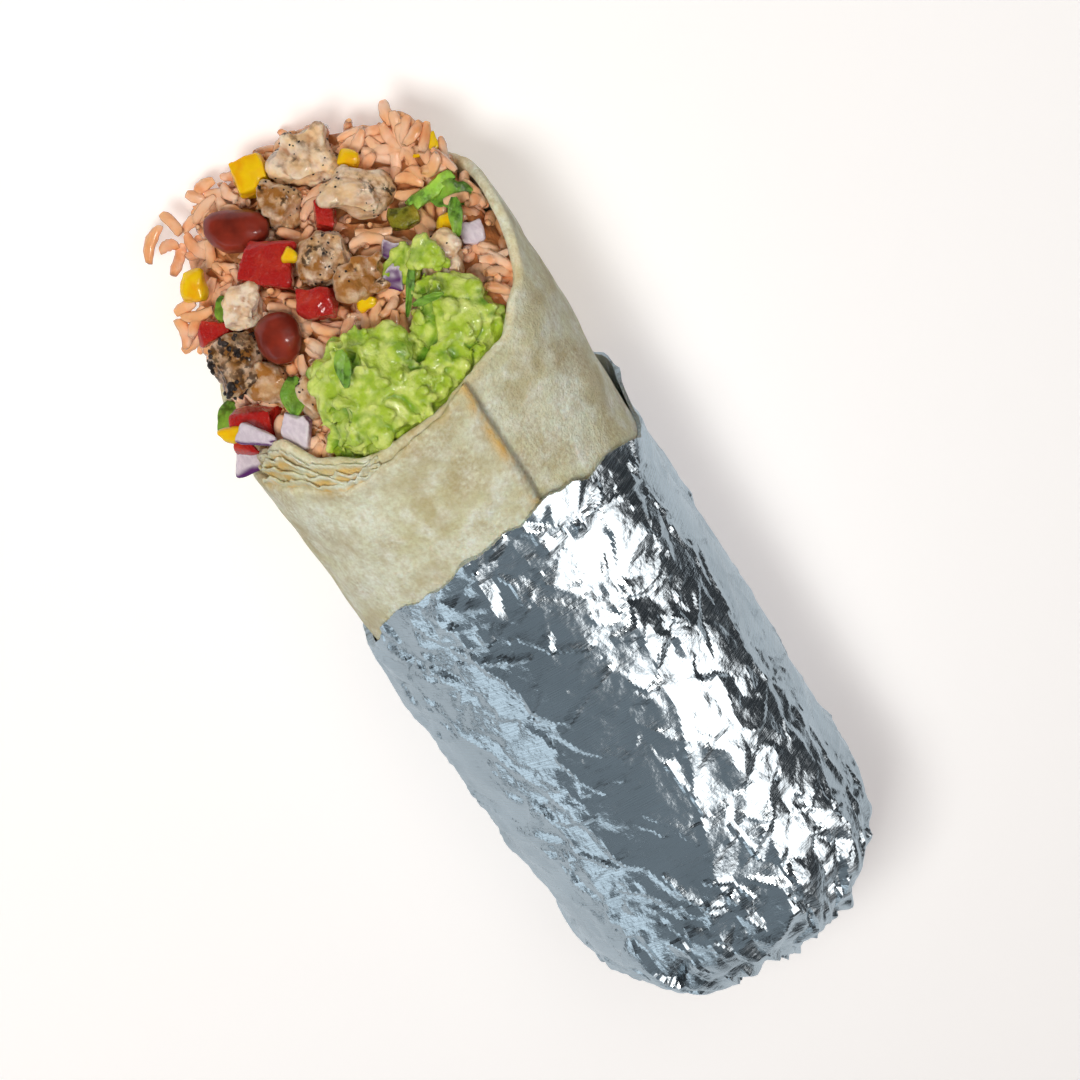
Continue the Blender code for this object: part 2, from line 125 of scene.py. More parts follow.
class BurritoSizes(bpy.types.PropertyGroup):
    """The sizes that a user would change."""

    sheet: length_property("Tortilla", 2.4, "Thickness of the tortilla")
    fold_height: length_property("Folds", 1.5, "Height of the foil's broad folds")
    crumple_height: length_property("Crumples", 0.75, "Height of the foil's crumples")
    grain_length: length_property("Rice grain length", 7.8, "Length of a cooked grain")
    grain_width: length_property("Rice grain width", 2.7, "Width of a cooked grain")
    grain_count: IntProperty(name="Rice grains", description="Most grains in a layer", default=640, min=0)
    mash_lump: length_property("Guacamole lumps", 4.2, "Size of the lumps in the guacamole")


class BurritoColours(bpy.types.PropertyGroup):
    """The colours of the foil, the tortilla and each filling."""

    foil: colour_property("Foil", "#ccd3d7", "Bare aluminium")
    cream: colour_property("Tortilla", "#edefd9", "Baked flour dough")
    tan: colour_property("Tortilla freckles", "#b9a674", "Dough toasted by the griddle")
    stain: colour_property("Tortilla oil", "#eebb58", "Dough soaked by orange cooking oil")
    rice: colour_property("Rice", "#f9b781", "Rice cooked with tomato")
    # The core shows between the grains: its colour is the sauce's own, and also painted shade.
    rice_sauce_and_shade: colour_property("Rice core", "#c9824f", "Rice and sauce between the grains")
    guacamole: colour_property("Guacamole", "#b0c93c", "Mashed avocado flesh")
    # The deep green is the flesh's own darker tone, and it is also painted into the guacamole's clefts as shade.
    guacamole_pale: colour_property("Guacamole highlights", "#dbe67c", "Flesh from beside the stone")
    guacamole_deep_and_shade: colour_property("Guacamole shade", "#6c9a26", "Flesh from under the skin")
    bean: colour_property("Bean", "#93301e", "Kidney bean skin")
    meat: colour_property("Chicken", "#f4d0a2", "Cooked breast meat")
    seared: colour_property("Chicken crust", "#aa6f30", "Meat browned on the grill")
    char: colour_property("Chicken char", "#241a15", "Burnt crust and pepper")
    tomato: colour_property("Tomato", "#b21f1a", "Tomato skin and flesh")
    corn: colour_property("Sweetcorn", "#f6c912", "Cooked kernels")
    onion: colour_property("Onion", "#e2d6de", "Red onion flesh")
    onion_skin: colour_property("Onion edge", "#5e2a68", "Red onion's coloured layer")
    leaf: colour_property("Leaf", "#74a23c", "Fresh coriander and pepper")
    olive: colour_property("Cooked pepper", "#7d7a22", "Softened green pepper")


def sizes():
    return bpy.context.scene.burrito_sizes


def colours():
    return bpy.context.scene.burrito_colours


# ---------------------------------------------------------------- places


def eased(stops, values):
    """The sizes at `values`, eased between the (place, size) stops on either side."""
    places = np.array([stop[0] for stop in stops], float)
    heights = np.array([stop[1] for stop in stops], float)
    after = np.clip(np.searchsorted(places, values), 1, len(stops) - 1)
    share = np.clip((values - places[after - 1]) / (places[after] - places[after - 1]), 0, 1)
    share = share * share * (3 - 2 * share)
    return heights[after - 1] + (heights[after] - heights[after - 1]) * share


def ramp(low, high, values):
    """0 below `low`, 1 above `high` and eased between, for arrays."""
    share = np.clip((values - low) / (high - low), 0, 1)
    return share * share * (3 - 2 * share)


def rough(points, lump, seed=0):
    """Smooth random heights from about -1 to 1 at each point, in lumps of the size `lump`."""
    places = np.asarray(points) / lump + seed * 7.31
    return np.array([noise.noise(place) for place in places.tolist()]) * 1.6


def node_vertices(node):
    """The corners of a CAD node as an array."""
    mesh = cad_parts[node].data
    points = np.empty(len(mesh.vertices) * 3, np.float32)
    mesh.vertices.foreach_get("co", points)
    return points.reshape(-1, 3).astype(float)


def roll_middle():
    """The top of the rim along the roll, the middle across it and the height of its axis."""
    low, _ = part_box("tortilla")
    corners = node_vertices("tortilla")
    far = corners[corners[:, 0] > low[0] + RIM_FORWARD + END_START - 1 * MM]
    across = (far[:, 1].min() + far[:, 1].max()) / 2
    return low[0] + RIM_FORWARD, across, HEIGHT_SHARE * WAIST_HALF_WIDTH + FOIL_SOLID + FOIL_GAP - SINK


RIM_TOP, MIDDLE, AXIS_HEIGHT = roll_middle()


def half_width(run):
    """Half the outer width of the tortilla: it flares at the mouth and tapers evenly past the waist."""
    far = WAIST_HALF_WIDTH + (FAR_HALF_WIDTH - WAIST_HALF_WIDTH) * (run - WAIST) / (END_START - WAIST)
    return np.where(run > WAIST, far, eased([(0.0, MOUTH_HALF_WIDTH), (WAIST, WAIST_HALF_WIDTH)], run))


def unevenness(run, angle):
    """The slow swells of a hand-rolled mouth, which fade out at the waist and on the underside."""
    places = np.stack([run / (45 * MM), 1.6 * np.sin(angle), 1.6 * np.cos(angle)], -1)
    swell = np.array([noise.noise(place) for place in places.reshape(-1, 3).tolist()]).reshape(run.shape)
    fade = np.clip(0.8 + np.cos(angle), 0, 1) * np.clip(1 - np.maximum(run, 0) / WAIST, 0, 1)
    return UNEVEN * swell * fade


def roll_points(run, degrees, offset):
    """Points `offset` outside the tortilla. Past END_START the run turns round the closed end."""
    run, degrees, offset = np.broadcast_arrays(run, degrees, offset)
    angle = np.radians(degrees)
    end_turn = np.maximum(0, run - END_START) / END_DEPTH * math.pi / 2
    straight = np.minimum(run, END_START)
    reach = half_width(straight) + unevenness(straight, angle)
    width = (reach + offset) * np.cos(end_turn)
    height = (HEIGHT_SHARE * reach + offset) * np.cos(end_turn)
    x = RIM_TOP + straight + (END_DEPTH + offset) * np.sin(end_turn)
    z = np.maximum(AXIS_HEIGHT + height * np.cos(angle), FOIL_SOLID + FOIL_GAP - offset)
    return np.stack([x, MIDDLE + width * np.sin(angle), z], -1)


def face_axes():
    """The open face: the way it looks, and up it towards the rim."""
    tilt = math.radians(65)
    return Vector((-math.cos(tilt), 0, math.sin(tilt))), Vector((math.sin(tilt), 0, math.cos(tilt)))


FILLING = [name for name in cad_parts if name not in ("foil_wrap", "tortilla")]


def surface_of(names):
    """The named CAD nodes as one surface to lay things on, and the node that each face belongs to."""
    points, faces, owners = [], [], []
    for name in names:
        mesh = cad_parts[name].data
        first = len(points)
        points += [tuple(vert.co) for vert in mesh.vertices]
        faces += [tuple(first + i for i in face.vertices) for face in mesh.polygons]
        owners += [name] * len(mesh.polygons)
    return BVHTree.FromPolygons(points, faces), owners


def face_spot(tree, across, down, rise=0.0):
    """The place on the heap `across` and `down` its face in mm from the top of the rim.

    Beside the heap it is the place on that line which lies nearest to the heap.
    """
    normal, up = face_axes()
    top = Vector(roll_points(np.array(0.0), 0.0, 0.0))
    start = top + Vector((0, across * MM, 0)) - up * down * MM
    hit, way, index, _ = tree.ray_cast(start + normal, -normal)
    if hit is None:
        line = [start - normal * depth * MM for depth in range(60)]
        hit = min(line, key=lambda place: tree.find_nearest(place)[3])
        _, way, index, _ = tree.find_nearest(hit)
    return hit + normal * rise * MM, way, index


# ---------------------------------------------------------------- meshes


def show_mesh(name, points, faces, smooth=True):
    """A new object of the given points and faces, in the scene."""
    mesh = bpy.data.meshes.new(name)
    mesh.from_pydata(np.asarray(points).tolist(), [], np.asarray(faces).tolist()
                     if isinstance(faces, np.ndarray) else faces)
    if smooth:
        mesh.shade_smooth()
    made = bpy.data.objects.new(name, mesh)
    bpy.context.scene.collection.objects.link(made)
    return made


def grid_faces(rows, columns, wrap, first=0, flip=False):
    """The quads of a grid of points in rows, joined round its columns if `wrap`."""
    index = first + np.arange(rows * columns).reshape(rows, columns)
    if wrap:
        index = np.concatenate([index, index[:, :1]], axis=1)
    quads = np.stack([index[:-1, :-1], index[:-1, 1:], index[1:, 1:], index[1:, :-1]], -1).reshape(-1, 4)
    return quads[:, ::-1] if flip else quads


def sheet_faces(rows, columns):
    """The faces of a closed sheet: its upper grid, its lower grid and the border that joins them."""
    below = rows * columns
    faces = np.concatenate([grid_faces(rows, columns, False),
                            grid_faces(rows, columns, False, below, flip=True)]).tolist()
    border = list(range(columns)) + [row * columns + columns - 1 for row in range(1, rows)]
    border += [(rows - 1) * columns + column for column in range(columns - 2, -1, -1)]
    border += [row * columns for row in range(rows - 2, 0, -1)]
    return faces + [(j, i, below + i, below + j) for i, j in zip(border, border[1:] + border[:1])]


def paint(made, name, values):
    """Stores a number for each point, which the object's material reads by name."""
    layer = made.data.attributes.new(name, "FLOAT", "POINT")
    layer.data.foreach_set("value", np.asarray(values, np.float32))


def points_of(made):
    """The points of an object's mesh and their normals, as arrays."""
    mesh = made.data
    places = np.empty(len(mesh.vertices) * 3, np.float32)
    mesh.vertices.foreach_get("co", places)
    normals = np.empty(len(mesh.vertices) * 3, np.float32)
    mesh.vertex_normals.foreach_get("vector", normals)
    return places.reshape(-1, 3).astype(float), normals.reshape(-1, 3).astype(float)


def move_points(made, places):
    made.data.vertices.foreach_set("co", np.asarray(places, np.float32).ravel())
    made.data.update()


def evaluated(made):
    """The object's mesh with its modifiers applied, for use after they are cleared."""
    result = bpy.data.meshes.new_from_object(made.evaluated_get(bpy.context.evaluated_depsgraph_get()))
    made.modifiers.clear()
    return result


def welded(made, voxel, rounding):
    """Melts an object's overlapping shapes into one skin at `voxel` and softens it."""
    remesh = made.modifiers.new("remesh", "REMESH")
    remesh.mode = "VOXEL"
    remesh.voxel_size = voxel
    soften = made.modifiers.new("soften", "SMOOTH")
    soften.factor = 0.5
    soften.iterations = rounding
    made.data = evaluated(made)
    made.data.shade_smooth()
    return made


def standing(made, passes):
    """How far each point stands above the object's own softened form: edges are high and clefts are low."""
    places, normals = points_of(made)
    soften = made.modifiers.new("soften", "SMOOTH")
    soften.factor = 0.5
    soften.iterations = passes
    smooth = evaluated(made)
    soft = np.empty(len(smooth.vertices) * 3, np.float32)
    smooth.vertices.foreach_get("co", soft)
    bpy.data.meshes.remove(smooth)
    return ((places - soft.reshape(-1, 3)) * normals).sum(axis=1)


def refined(node, name, voxel, rounding):
    """A copy of a CAD node with its facets remeshed at `voxel` and softened by `rounding` passes."""
    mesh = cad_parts[node].data.copy()
    made = bpy.data.objects.new(name, mesh)
    bpy.context.scene.collection.objects.link(made)
    weld = made.modifiers.new("weld", "WELD")
    weld.merge_threshold = 0.01 * MM
    remesh = made.modifiers.new("remesh", "REMESH")
    remesh.mode = "VOXEL"
    remesh.voxel_size = voxel
    soften = made.modifiers.new("soften", "SMOOTH")
    soften.factor = 0.5
    soften.iterations = rounding
    result = evaluated(made)
    made.data = result
    result.name = name
    result.materials.clear()
    result.shade_smooth()
    return made


def joined(name, shapes, numbers=None):
    """One object of many small (points, faces) shapes; `numbers` gives each shape its tone."""
    points, faces, tones, count = [], [], [], 0
    for i, (places, corners) in enumerate(shapes):
        points.append(places)
        faces += (np.asarray(corners) + count).tolist() if not isinstance(corners, list) else [
            tuple(count + c for c in face) for face in corners]
        tones += [numbers[i] if numbers else 0.5] * len(places)
        count += len(places)
    made = show_mesh(name, np.concatenate(points), faces)
    paint(made, "tone", tones)
    return made


def dress(made, material, slot, *nodes):
    """Gives a piece its finish, the body it rides on and the nodes it stands for; `slot` is not used."""
    made.data.materials.clear()
    made.data.materials.append(material)
    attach(made, "root")
    if nodes:
        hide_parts(*nodes)
    return made


# ---------------------------------------------------------------- finishes


def add(tree, kind, inputs=None, stops=None, **settings):
    """Adds a shader node with its settings, its inputs as links or values, and a ramp's stops."""
    made = tree.nodes.new("ShaderNode" + kind)
    for name, value in settings.items():
        setattr(made, name, value)
    for key, value in (inputs or {}).items():
        if isinstance(value, bpy.types.NodeSocket):
            tree.links.new(value, made.inputs[key])
        else:
            made.inputs[key].default_value = value
    for i, (place, shade) in enumerate(stops or []):
        stop = made.color_ramp.elements[i] if i < 2 else made.color_ramp.elements.new(place)
        stop.position = place
        stop.color = (shade, shade, shade, 1)
    return made


def new_finish(name, **values):
    """A material with one Principled shader whose sockets start at `values`."""
    material = bpy.data.materials.new(name)
    material.use_nodes = True
    tree = material.node_tree
    tree.nodes.clear()
    shader = add(tree, "BsdfPrincipled", {key.replace("_", " "): value for key, value in values.items()})
    add(tree, "OutputMaterial", {"Surface": shader.outputs["BSDF"]})
    return material, tree, shader


def pattern(tree, size, detail=2.0, low=0.4, high=0.6, stretch=None, source="Object"):
    """A random pattern with features of the given size in metres, as a mask from `low` to `high`."""
    where = add(tree, "TexCoord")
    vector = where.outputs[source]
    if stretch:
        vector = add(tree, "VectorMath", {0: vector, 1: stretch}, operation="MULTIPLY").outputs[0]
    spots = add(tree, "TexNoise", {"Vector": vector, "Scale": 1 / size, "Detail": detail})
    shaped = add(tree, "ValToRGB", {"Fac": spots.outputs["Fac"]}, stops=[(low, 0), (high, 1)])
    return shaped.outputs["Color"]


def blend(tree, share, first, second):
    """Mixes two colours by a mask."""
    return add(tree, "Mix", {0: share, 6: first, 7: second}, data_type="RGBA").outputs[2]


def bumps(tree, shader, *layers):
    """Fine relief from (mask, height) layers, one upon the other."""
    normal = None
    for mask, height in layers:
        inputs = {"Height": mask, "Distance": height, "Strength": 1.0}
        if normal:
            inputs["Normal"] = normal
        normal = add(tree, "Bump", inputs).outputs["Normal"]
    tree.links.new(normal, shader.inputs["Normal"])


def attribute(tree, name):
    """A number painted on the mesh's points."""
    return add(tree, "Attribute", attribute_name=name).outputs["Fac"]


def rolled_foil():
    """Household foil, rolled thin and bright: a clear mirror drawn out by fine lines across the roll."""
    material, tree, shader = new_finish(
        "aluminium_foil_rolled", Metallic=1.0, Roughness=0.15, Anisotropic=0.6, Anisotropic_Rotation=0.25)
    tangent = add(tree, "Tangent", direction_type="UV_MAP", uv_map="unrolled")
    tree.links.new(tangent.outputs[0], shader.inputs["Tangent"])
    tone = pattern(tree, 14 * MM, 2, 0.3, 0.7)
    duller = tuple(0.86 * c for c in colours().foil[:3]) + (1,)
    tree.links.new(blend(tree, tone, colours().foil, duller), shader.inputs["Base Color"])
    # Rolling lines are about 0.02 mm apart and are drawn 0.3 mm apart so that they show.
    lines = pattern(tree, 1.0, 3, 0.35, 0.65, stretch=(1 / (9 * MM), 1 / (0.3 * MM), 0), source="UV")
    dents = pattern(tree, 2.6 * MM, 3, 0.3, 0.75)
    rub = add(tree, "MapRange", {0: lines, 3: 0.12, 4: 0.34}).outputs[0]
    tree.links.new(rub, shader.inputs["Roughness"])
    bumps(tree, shader, (lines, 0.012 * MM), (dents, 0.13 * MM))
    return material


def griddled_dough():
    """Flour tortilla baked on a griddle: matt, slightly see-through dough with toasted freckles, and a shade painted
    beside its ridge.
    """
    material, tree, shader = new_finish(
        "flour_tortilla_griddled", Roughness=0.62, IOR=1.45,
        Subsurface_Weight=0.25, Subsurface_Radius=(2.0, 1.2, 0.7), Subsurface_Scale=1.0 * MM)
    floury = tuple(c + (1 - c) * 0.35 for c in colours().cream[:3]) + (1,)
    oily = (colours().cream[0] * 0.84, colours().cream[1] * 0.79, colours().cream[2] * 0.64, 1)
    colour = blend(tree, pattern(tree, 16 * MM, 4, 0.4, 0.62), oily, colours().cream)
    colour = blend(tree, pattern(tree, 5 * MM, 5, 0.45, 0.7), colour, floury)
    # Freckles: (size in mm, mask from and to, strength).
    for size, low, high, strength in ((0.8, 0.38, 0.70, 0.40), (2.2, 0.48, 0.70, 0.35), (9, 0.50, 0.68, 0.6)):
        spots = add(tree, "Math", {0: pattern(tree, size * MM, 5, low, high), 1: strength},
                    operation="MULTIPLY").outputs[0]
        colour = blend(tree, spots, colour, colours().tan)
    # Random toasted patches, and a shade painted in the same golden brown beside the ridge.
    toasted = add(tree, "Math", {0: attribute(tree, "toast_and_ridge_shade"), 1: pattern(tree, 0.9 * MM, 4, 0.35, 0.65)},
                  operation="MULTIPLY").outputs[0]
    golden = (colours().tan[0] * 0.85, colours().tan[1] * 0.72, colours().tan[2] * 0.5, 1)
    colour = blend(tree, toasted, colour, golden)
    stain = add(tree, "Math", {0: attribute(tree, "stain"), 1: pattern(tree, 6 * MM, 3, 0.4, 0.6)},
                operation="MULTIPLY").outputs[0]
    colour = blend(tree, stain, colour, colours().stain)
    tree.links.new(colour, shader.inputs["Base Color"])
    bumps(tree, shader, (pattern(tree, 0.5 * MM, 3, 0.3, 0.7), 0.11 * MM),
          (pattern(tree, 2.5 * MM, 3, 0.3, 0.7), 0.2 * MM))
    return material


def cooked_rice():
    """Long-grain rice boiled with tomato: moist, milky grains that light soaks into."""
    material, tree, shader = new_finish(
        "long_grain_rice_boiled", Roughness=0.24, IOR=1.4, Coat_Weight=0.6, Coat_Roughness=0.08,
        Subsurface_Weight=0.25, Subsurface_Radius=(2.4, 1.4, 0.9), Subsurface_Scale=0.5 * MM)
    pale = tuple(c + (1 - c) * 0.28 for c in colours().rice[:3]) + (1,)
    deep = (colours().rice[0] * 0.92, colours().rice[1] * 0.72, colours().rice[2] * 0.58, 1)
    colour = blend(tree, pattern(tree, 7 * MM, 1, 0.35, 0.65), pale, colours().rice)
    colour = blend(tree, pattern(tree, 5 * MM, 2, 0.5, 0.75), colour, deep)
    tree.links.new(colour, shader.inputs["Base Color"])
    bumps(tree, shader, (pattern(tree, 1.1 * MM, 2, 0.3, 0.7), 0.12 * MM))
    return material


def rice_core():
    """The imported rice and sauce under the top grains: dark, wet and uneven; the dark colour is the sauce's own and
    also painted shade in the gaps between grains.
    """
    material, tree, shader = new_finish(
        "rice_and_sauce_packed", Roughness=0.35, IOR=1.4,
        Subsurface_Weight=0.2, Subsurface_Radius=(2.0, 0.8, 0.4), Subsurface_Scale=0.8 * MM)
    deep = tuple(0.5 * c for c in colours().rice_sauce_and_shade[:3]) + (1,)
    mask = pattern(tree, 3 * MM, 3, 0.4, 0.7)
    tree.links.new(blend(tree, mask, colours().rice_sauce_and_shade, deep), shader.inputs["Base Color"])
    bumps(tree, shader, (pattern(tree, 1.2 * MM, 2, 0.3, 0.7), 0.2 * MM))
    return material


def mashed_avocado():
    """Avocado crushed with a fork: oily, buttery flesh, pale by the stone and green under the skin, with shade
    painted deep green into its clefts.
    """
    material, tree, shader = new_finish(
        "avocado_crushed", Roughness=0.25, IOR=1.45, Coat_Weight=0.5, Coat_Roughness=0.08,
        Subsurface_Weight=0.3, Subsurface_Radius=(1.6, 2.0, 0.5), Subsurface_Scale=0.8 * MM)
    colour = blend(tree, pattern(tree, 3.2 * MM, 3, 0.42, 0.62), colours().guacamole, colours().guacamole_pale)
    colour = blend(tree, pattern(tree, 5.5 * MM, 3, 0.55, 0.72), colour, colours().guacamole_deep_and_shade)
    # Painted shade: the deep green darkens the clefts, by the painted mask.
    hollow_shade = attribute(tree, "hollow_shade")
    colour = blend(tree, hollow_shade, colour, colours().guacamole_deep_and_shade)
    tree.links.new(colour, shader.inputs["Base Color"])
    bumps(tree, shader, (pattern(tree, 0.45 * MM, 2, 0.3, 0.7), 0.07 * MM),
          (pattern(tree, 1.1 * MM, 3, 0.3, 0.7), 0.16 * MM))
    return material


def bean_skin():
    """A boiled kidney bean: a taut, glossy skin with a clear coat of cooking liquid."""
    material, tree, shader = new_finish(
        "kidney_bean_boiled", Roughness=0.42, IOR=1.4, Specular_IOR_Level=0.35, Coat_Weight=0.45, Coat_Roughness=0.05,
        Subsurface_Weight=0.1, Subsurface_Radius=(2.0, 0.5, 0.3), Subsurface_Scale=0.8 * MM)
    deep = tuple(0.5 * c for c in colours().bean[:3]) + (1,)
    tree.links.new(blend(tree, pattern(tree, 5 * MM, 3, 0.35, 0.7), colours().bean, deep),
                   shader.inputs["Base Color"])
    bumps(tree, shader, (pattern(tree, 1.6 * MM, 2, 0.3, 0.7), 0.04 * MM))
    return material


def grilled_meat(name, sear, char):
    """Chicken breast browned on the grill: fibrous, moist meat under a peppered, burnt crust, with shade painted into
    its clefts.

    `sear` and `char`, from 0 to 1, say how much of the piece is browned and how much is burnt.
    """
    material, tree, shader = new_finish(
        name, Roughness=0.34, IOR=1.42, Specular_IOR_Level=0.5, Coat_Weight=0.35, Coat_Roughness=0.12,
        Subsurface_Weight=0.3, Subsurface_Radius=(2.4, 1.2, 0.7), Subsurface_Scale=0.8 * MM)
    pale = tuple(c + (1 - c) * 0.35 for c in colours().meat[:3]) + (1,)
    # Painted shade: this darker, pinkish brown is laid into the clefts of the meat.
    juice = (colours().seared[0], colours().seared[1] * 0.75, colours().seared[2] * 0.7, 1)
    colour = blend(tree, pattern(tree, 3.5 * MM, 3, 0.4, 0.6), colours().meat, pale)
    colour = blend(tree, attribute(tree, "cleft_shade"), colour, juice)
    crust = attribute(tree, "crust")
    grainy = pattern(tree, 2.2 * MM, 4, 0.35, 0.65)
    browned = add(tree, "Math", {0: crust, 1: grainy, 2: sear - 0.5}, operation="MULTIPLY_ADD",
                  use_clamp=True).outputs[0]
    crusty = tuple((1.1 - 0.3 * char) * c for c in colours().seared[:3]) + (1,)
    colour = blend(tree, browned, colour, crusty)
    clusters = pattern(tree, 4.5 * MM, 2, 0.66 - 0.2 * char, 0.76 - 0.2 * char)
    specks = add(tree, "Math", {0: pattern(tree, 1.1 * MM, 3, 0.46, 0.54), 1: clusters},
                 operation="MULTIPLY").outputs[0]
    burnt = add(tree, "Math", {0: crust, 1: specks}, operation="MULTIPLY", use_clamp=True).outputs[0]
    colour = blend(tree, burnt, colour, colours().char)
    tree.links.new(colour, shader.inputs["Base Color"])
    bumps(tree, shader, (pattern(tree, 0.8 * MM, 3, 0.3, 0.7), 0.11 * MM))
    return material


def burnt_crumbs():
    """Cracked pepper and crumbs burnt on the grill: black, dry and rough with a slight sheen."""
    material, tree, shader = new_finish("pepper_and_char", Roughness=0.45, IOR=1.5)
    brown = tuple(2.2 * c + 0.01 for c in colours().char[:3]) + (1,)
    tree.links.new(blend(tree, pattern(tree, 2 * MM, 2, 0.45, 0.65), colours().char, brown),
                   shader.inputs["Base Color"])
    bumps(tree, shader, (pattern(tree, 0.4 * MM, 2, 0.3, 0.7), 0.05 * MM))
    return material


def cut_tomato():
    """Diced tomato: firm, wet flesh with fine juice cells that glitter, and a smooth skin."""
    material, tree, shader = new_finish(
        "tomato_diced", Roughness=0.2, IOR=1.38, Coat_Weight=0.5, Coat_Roughness=0.05,
        Subsurface_Weight=0.3, Subsurface_Radius=(3.0, 0.6, 0.3), Subsurface_Scale=0.9 * MM)
    pale = (min(1, colours().tomato[0] * 1.25), colours().tomato[1] * 2.4 + 0.01, colours().tomato[2] * 2.0, 1)
    tree.links.new(blend(tree, pattern(tree, 4.5 * MM, 3, 0.48, 0.72), colours().tomato, pale),
                   shader.inputs["Base Color"])
    bumps(tree, shader, (pattern(tree, 0.8 * MM, 3, 0.4, 0.7), 0.2 * MM))
    return material


def boiled_corn():
    """Sweetcorn kernels and yellow pepper: taut, juicy and shiny, with random patches of deeper yellow."""
    material, tree, shader = new_finish(
        "sweetcorn_boiled", Roughness=0.2, IOR=1.42, Coat_Weight=0.3, Coat_Roughness=0.08,
        Subsurface_Weight=0.35, Subsurface_Radius=(2.5, 1.6, 0.3), Subsurface_Scale=0.9 * MM)
    deep = (colours().corn[0] * 0.95, colours().corn[1] * 0.72, colours().corn[2] * 0.6, 1)
    tree.links.new(blend(tree, pattern(tree, 4 * MM, 2, 0.42, 0.7), colours().corn, deep),
                   shader.inputs["Base Color"])
    bumps(tree, shader, (pattern(tree, 1.5 * MM, 2, 0.3, 0.7), 0.05 * MM))
    return material


def cut_onion():
    """Red onion: glassy, pale layers with a purple skin side."""
    material, tree, shader = new_finish(
        "red_onion_cut", Roughness=0.22, IOR=1.4, Coat_Weight=0.2, Coat_Roughness=0.1,
        Subsurface_Weight=0.35, Subsurface_Radius=(1.5, 1.2, 1.5), Subsurface_Scale=0.9 * MM)
    streaks = pattern(tree, 1.0, 2, 0.4, 0.6, stretch=(1 / (5 * MM), 1 / (0.9 * MM), 1 / (0.9 * MM)))
    violet = tuple(0.7 * c + 0.3 * d for c, d in zip(colours().onion[:3], colours().onion_skin[:3])) + (1,)
    faint = add(tree, "Math", {0: streaks, 1: 0.5}, operation="MULTIPLY").outputs[0]
    colour = blend(tree, faint, colours().onion, violet)
    colour = blend(tree, attribute(tree, "skin"), colour, colours().onion_skin)
    tree.links.new(colour, shader.inputs["Base Color"])
    bumps(tree, shader, (pattern(tree, 1.0 * MM, 2, 0.3, 0.7), 0.03 * MM))
    return material


def fresh_leaf(name, colour_from, gloss=0.35):
    """Chopped coriander and green pepper: waxy, with fine veins and darker patches."""
    material, tree, shader = new_finish(
        name, Roughness=gloss, IOR=1.42, Subsurface_Weight=0.2,
        Subsurface_Radius=(0.8, 1.6, 0.3), Subsurface_Scale=0.5 * MM)
    deep = tuple(0.4 * c for c in colour_from[:3]) + (1,)
    veins = pattern(tree, 1.6 * MM, 4, 0.45, 0.6)
    colour = blend(tree, veins, colour_from, deep)
    colour = blend(tree, pattern(tree, 6 * MM, 1, 0.5, 0.8), colour,
                   (min(1, colour_from[0] * 1.9), min(1, colour_from[1] * 1.5), colour_from[2] * 1.4, 1))
    tree.links.new(colour, shader.inputs["Base Color"])
    bumps(tree, shader, (pattern(tree, 1.1 * MM, 3, 0.4, 0.6), 0.10 * MM))
    return material


# ---------------------------------------------------------------- foil


# Long creases in the foil: height and width in mm, then points by angle from the top and run in mm.
CREASES = [
    (0.9, 5.0, [(21, 59), (13, 90), (4, 110), (-4, 124), (-18, 140)]),
    (0.7, 4.0, [(-38, 38), (-27, 62), (-19, 83), (-10, 92)]),
    (0.8, 5.0, [(-66, 62), (-49, 81), (-36, 94), (-30, 110), (-17, 129)]),
    (0.5, 3.0, [(-44, 44), (-20, 47), (-12, 49), (2, 43)]),
    (0.6, 3.5, [(-24, 69), (-13, 62), (-6, 56)]),
    (0.8, 5.0, [(52, 40), (58, 66), (50, 92), (62, 118), (60, 140)]),
    (0.6, 4.0, [(12, 66), (26, 72), (44, 68)]),
    (0.6, 4.0, [(6, 104), (22, 98), (38, 106), (56, 100)]),
    (0.7, 4.0, [(-4, 124), (14, 120), (34, 130), (50, 126)]),
    (0.7, 5.0, [(98, 40), (90, 74), (104, 110), (92, 140)]),
    (0.8, 5.0, [(-88, 52), (-76, 84), (-90, 112), (-70, 138)]),
    (0.6, 4.0, [(-112, 70), (-84, 96), (-60, 106)]),
    (0.7, 5.0, [(130, 60), (118, 96), (134, 130)]),
]


def facets(seed, pitch, length, along=1.0):
    """Flat facets between scattered points of random height, as a surface over the unrolled foil."""
    rng = np.random.default_rng(seed)
    around = 2 * math.pi * WAIST_HALF_WIDTH / MM
    count = int(around * length / pitch ** 2 / along)
    places = rng.random((count, 2)) * (around, length)
    heights = rng.random(count) * 2 - 1
    copies = [(places + (shift, 0), heights) for shift in (-around, 0, around)]
    flat = np.concatenate([copy[0] for copy in copies])
    level = np.concatenate([copy[1] for copy in copies])
    inside = (flat[:, 0] > -3 * pitch) & (flat[:, 0] < around + 3 * pitch)
    flat, level = flat[inside], level[inside]
    stretched = [Vector((x, y / along)) for x, y in flat]
    _, _, faces, sources, _, _ = geometry.delaunay_2d_cdt(stretched, [], [], 0, 1e-6)
    corners = [(x, y, h) for (x, y), h in zip(flat.tolist(), level.tolist())]
    moved = [corners[source[0]] for source in sources]
    return BVHTree.FromPolygons(moved, faces)


def facet_heights(tree, around, along):
    """The heights of a facet surface below each place."""
    down = Vector((0, 0, -1))
    heights = np.zeros(len(around))
    for i, (x, y) in enumerate(zip(around.tolist(), along.tolist())):
        hit = tree.ray_cast(Vector((x, y, 5)), down)[0]
        heights[i] = hit.z if hit else 0.0
    return heights


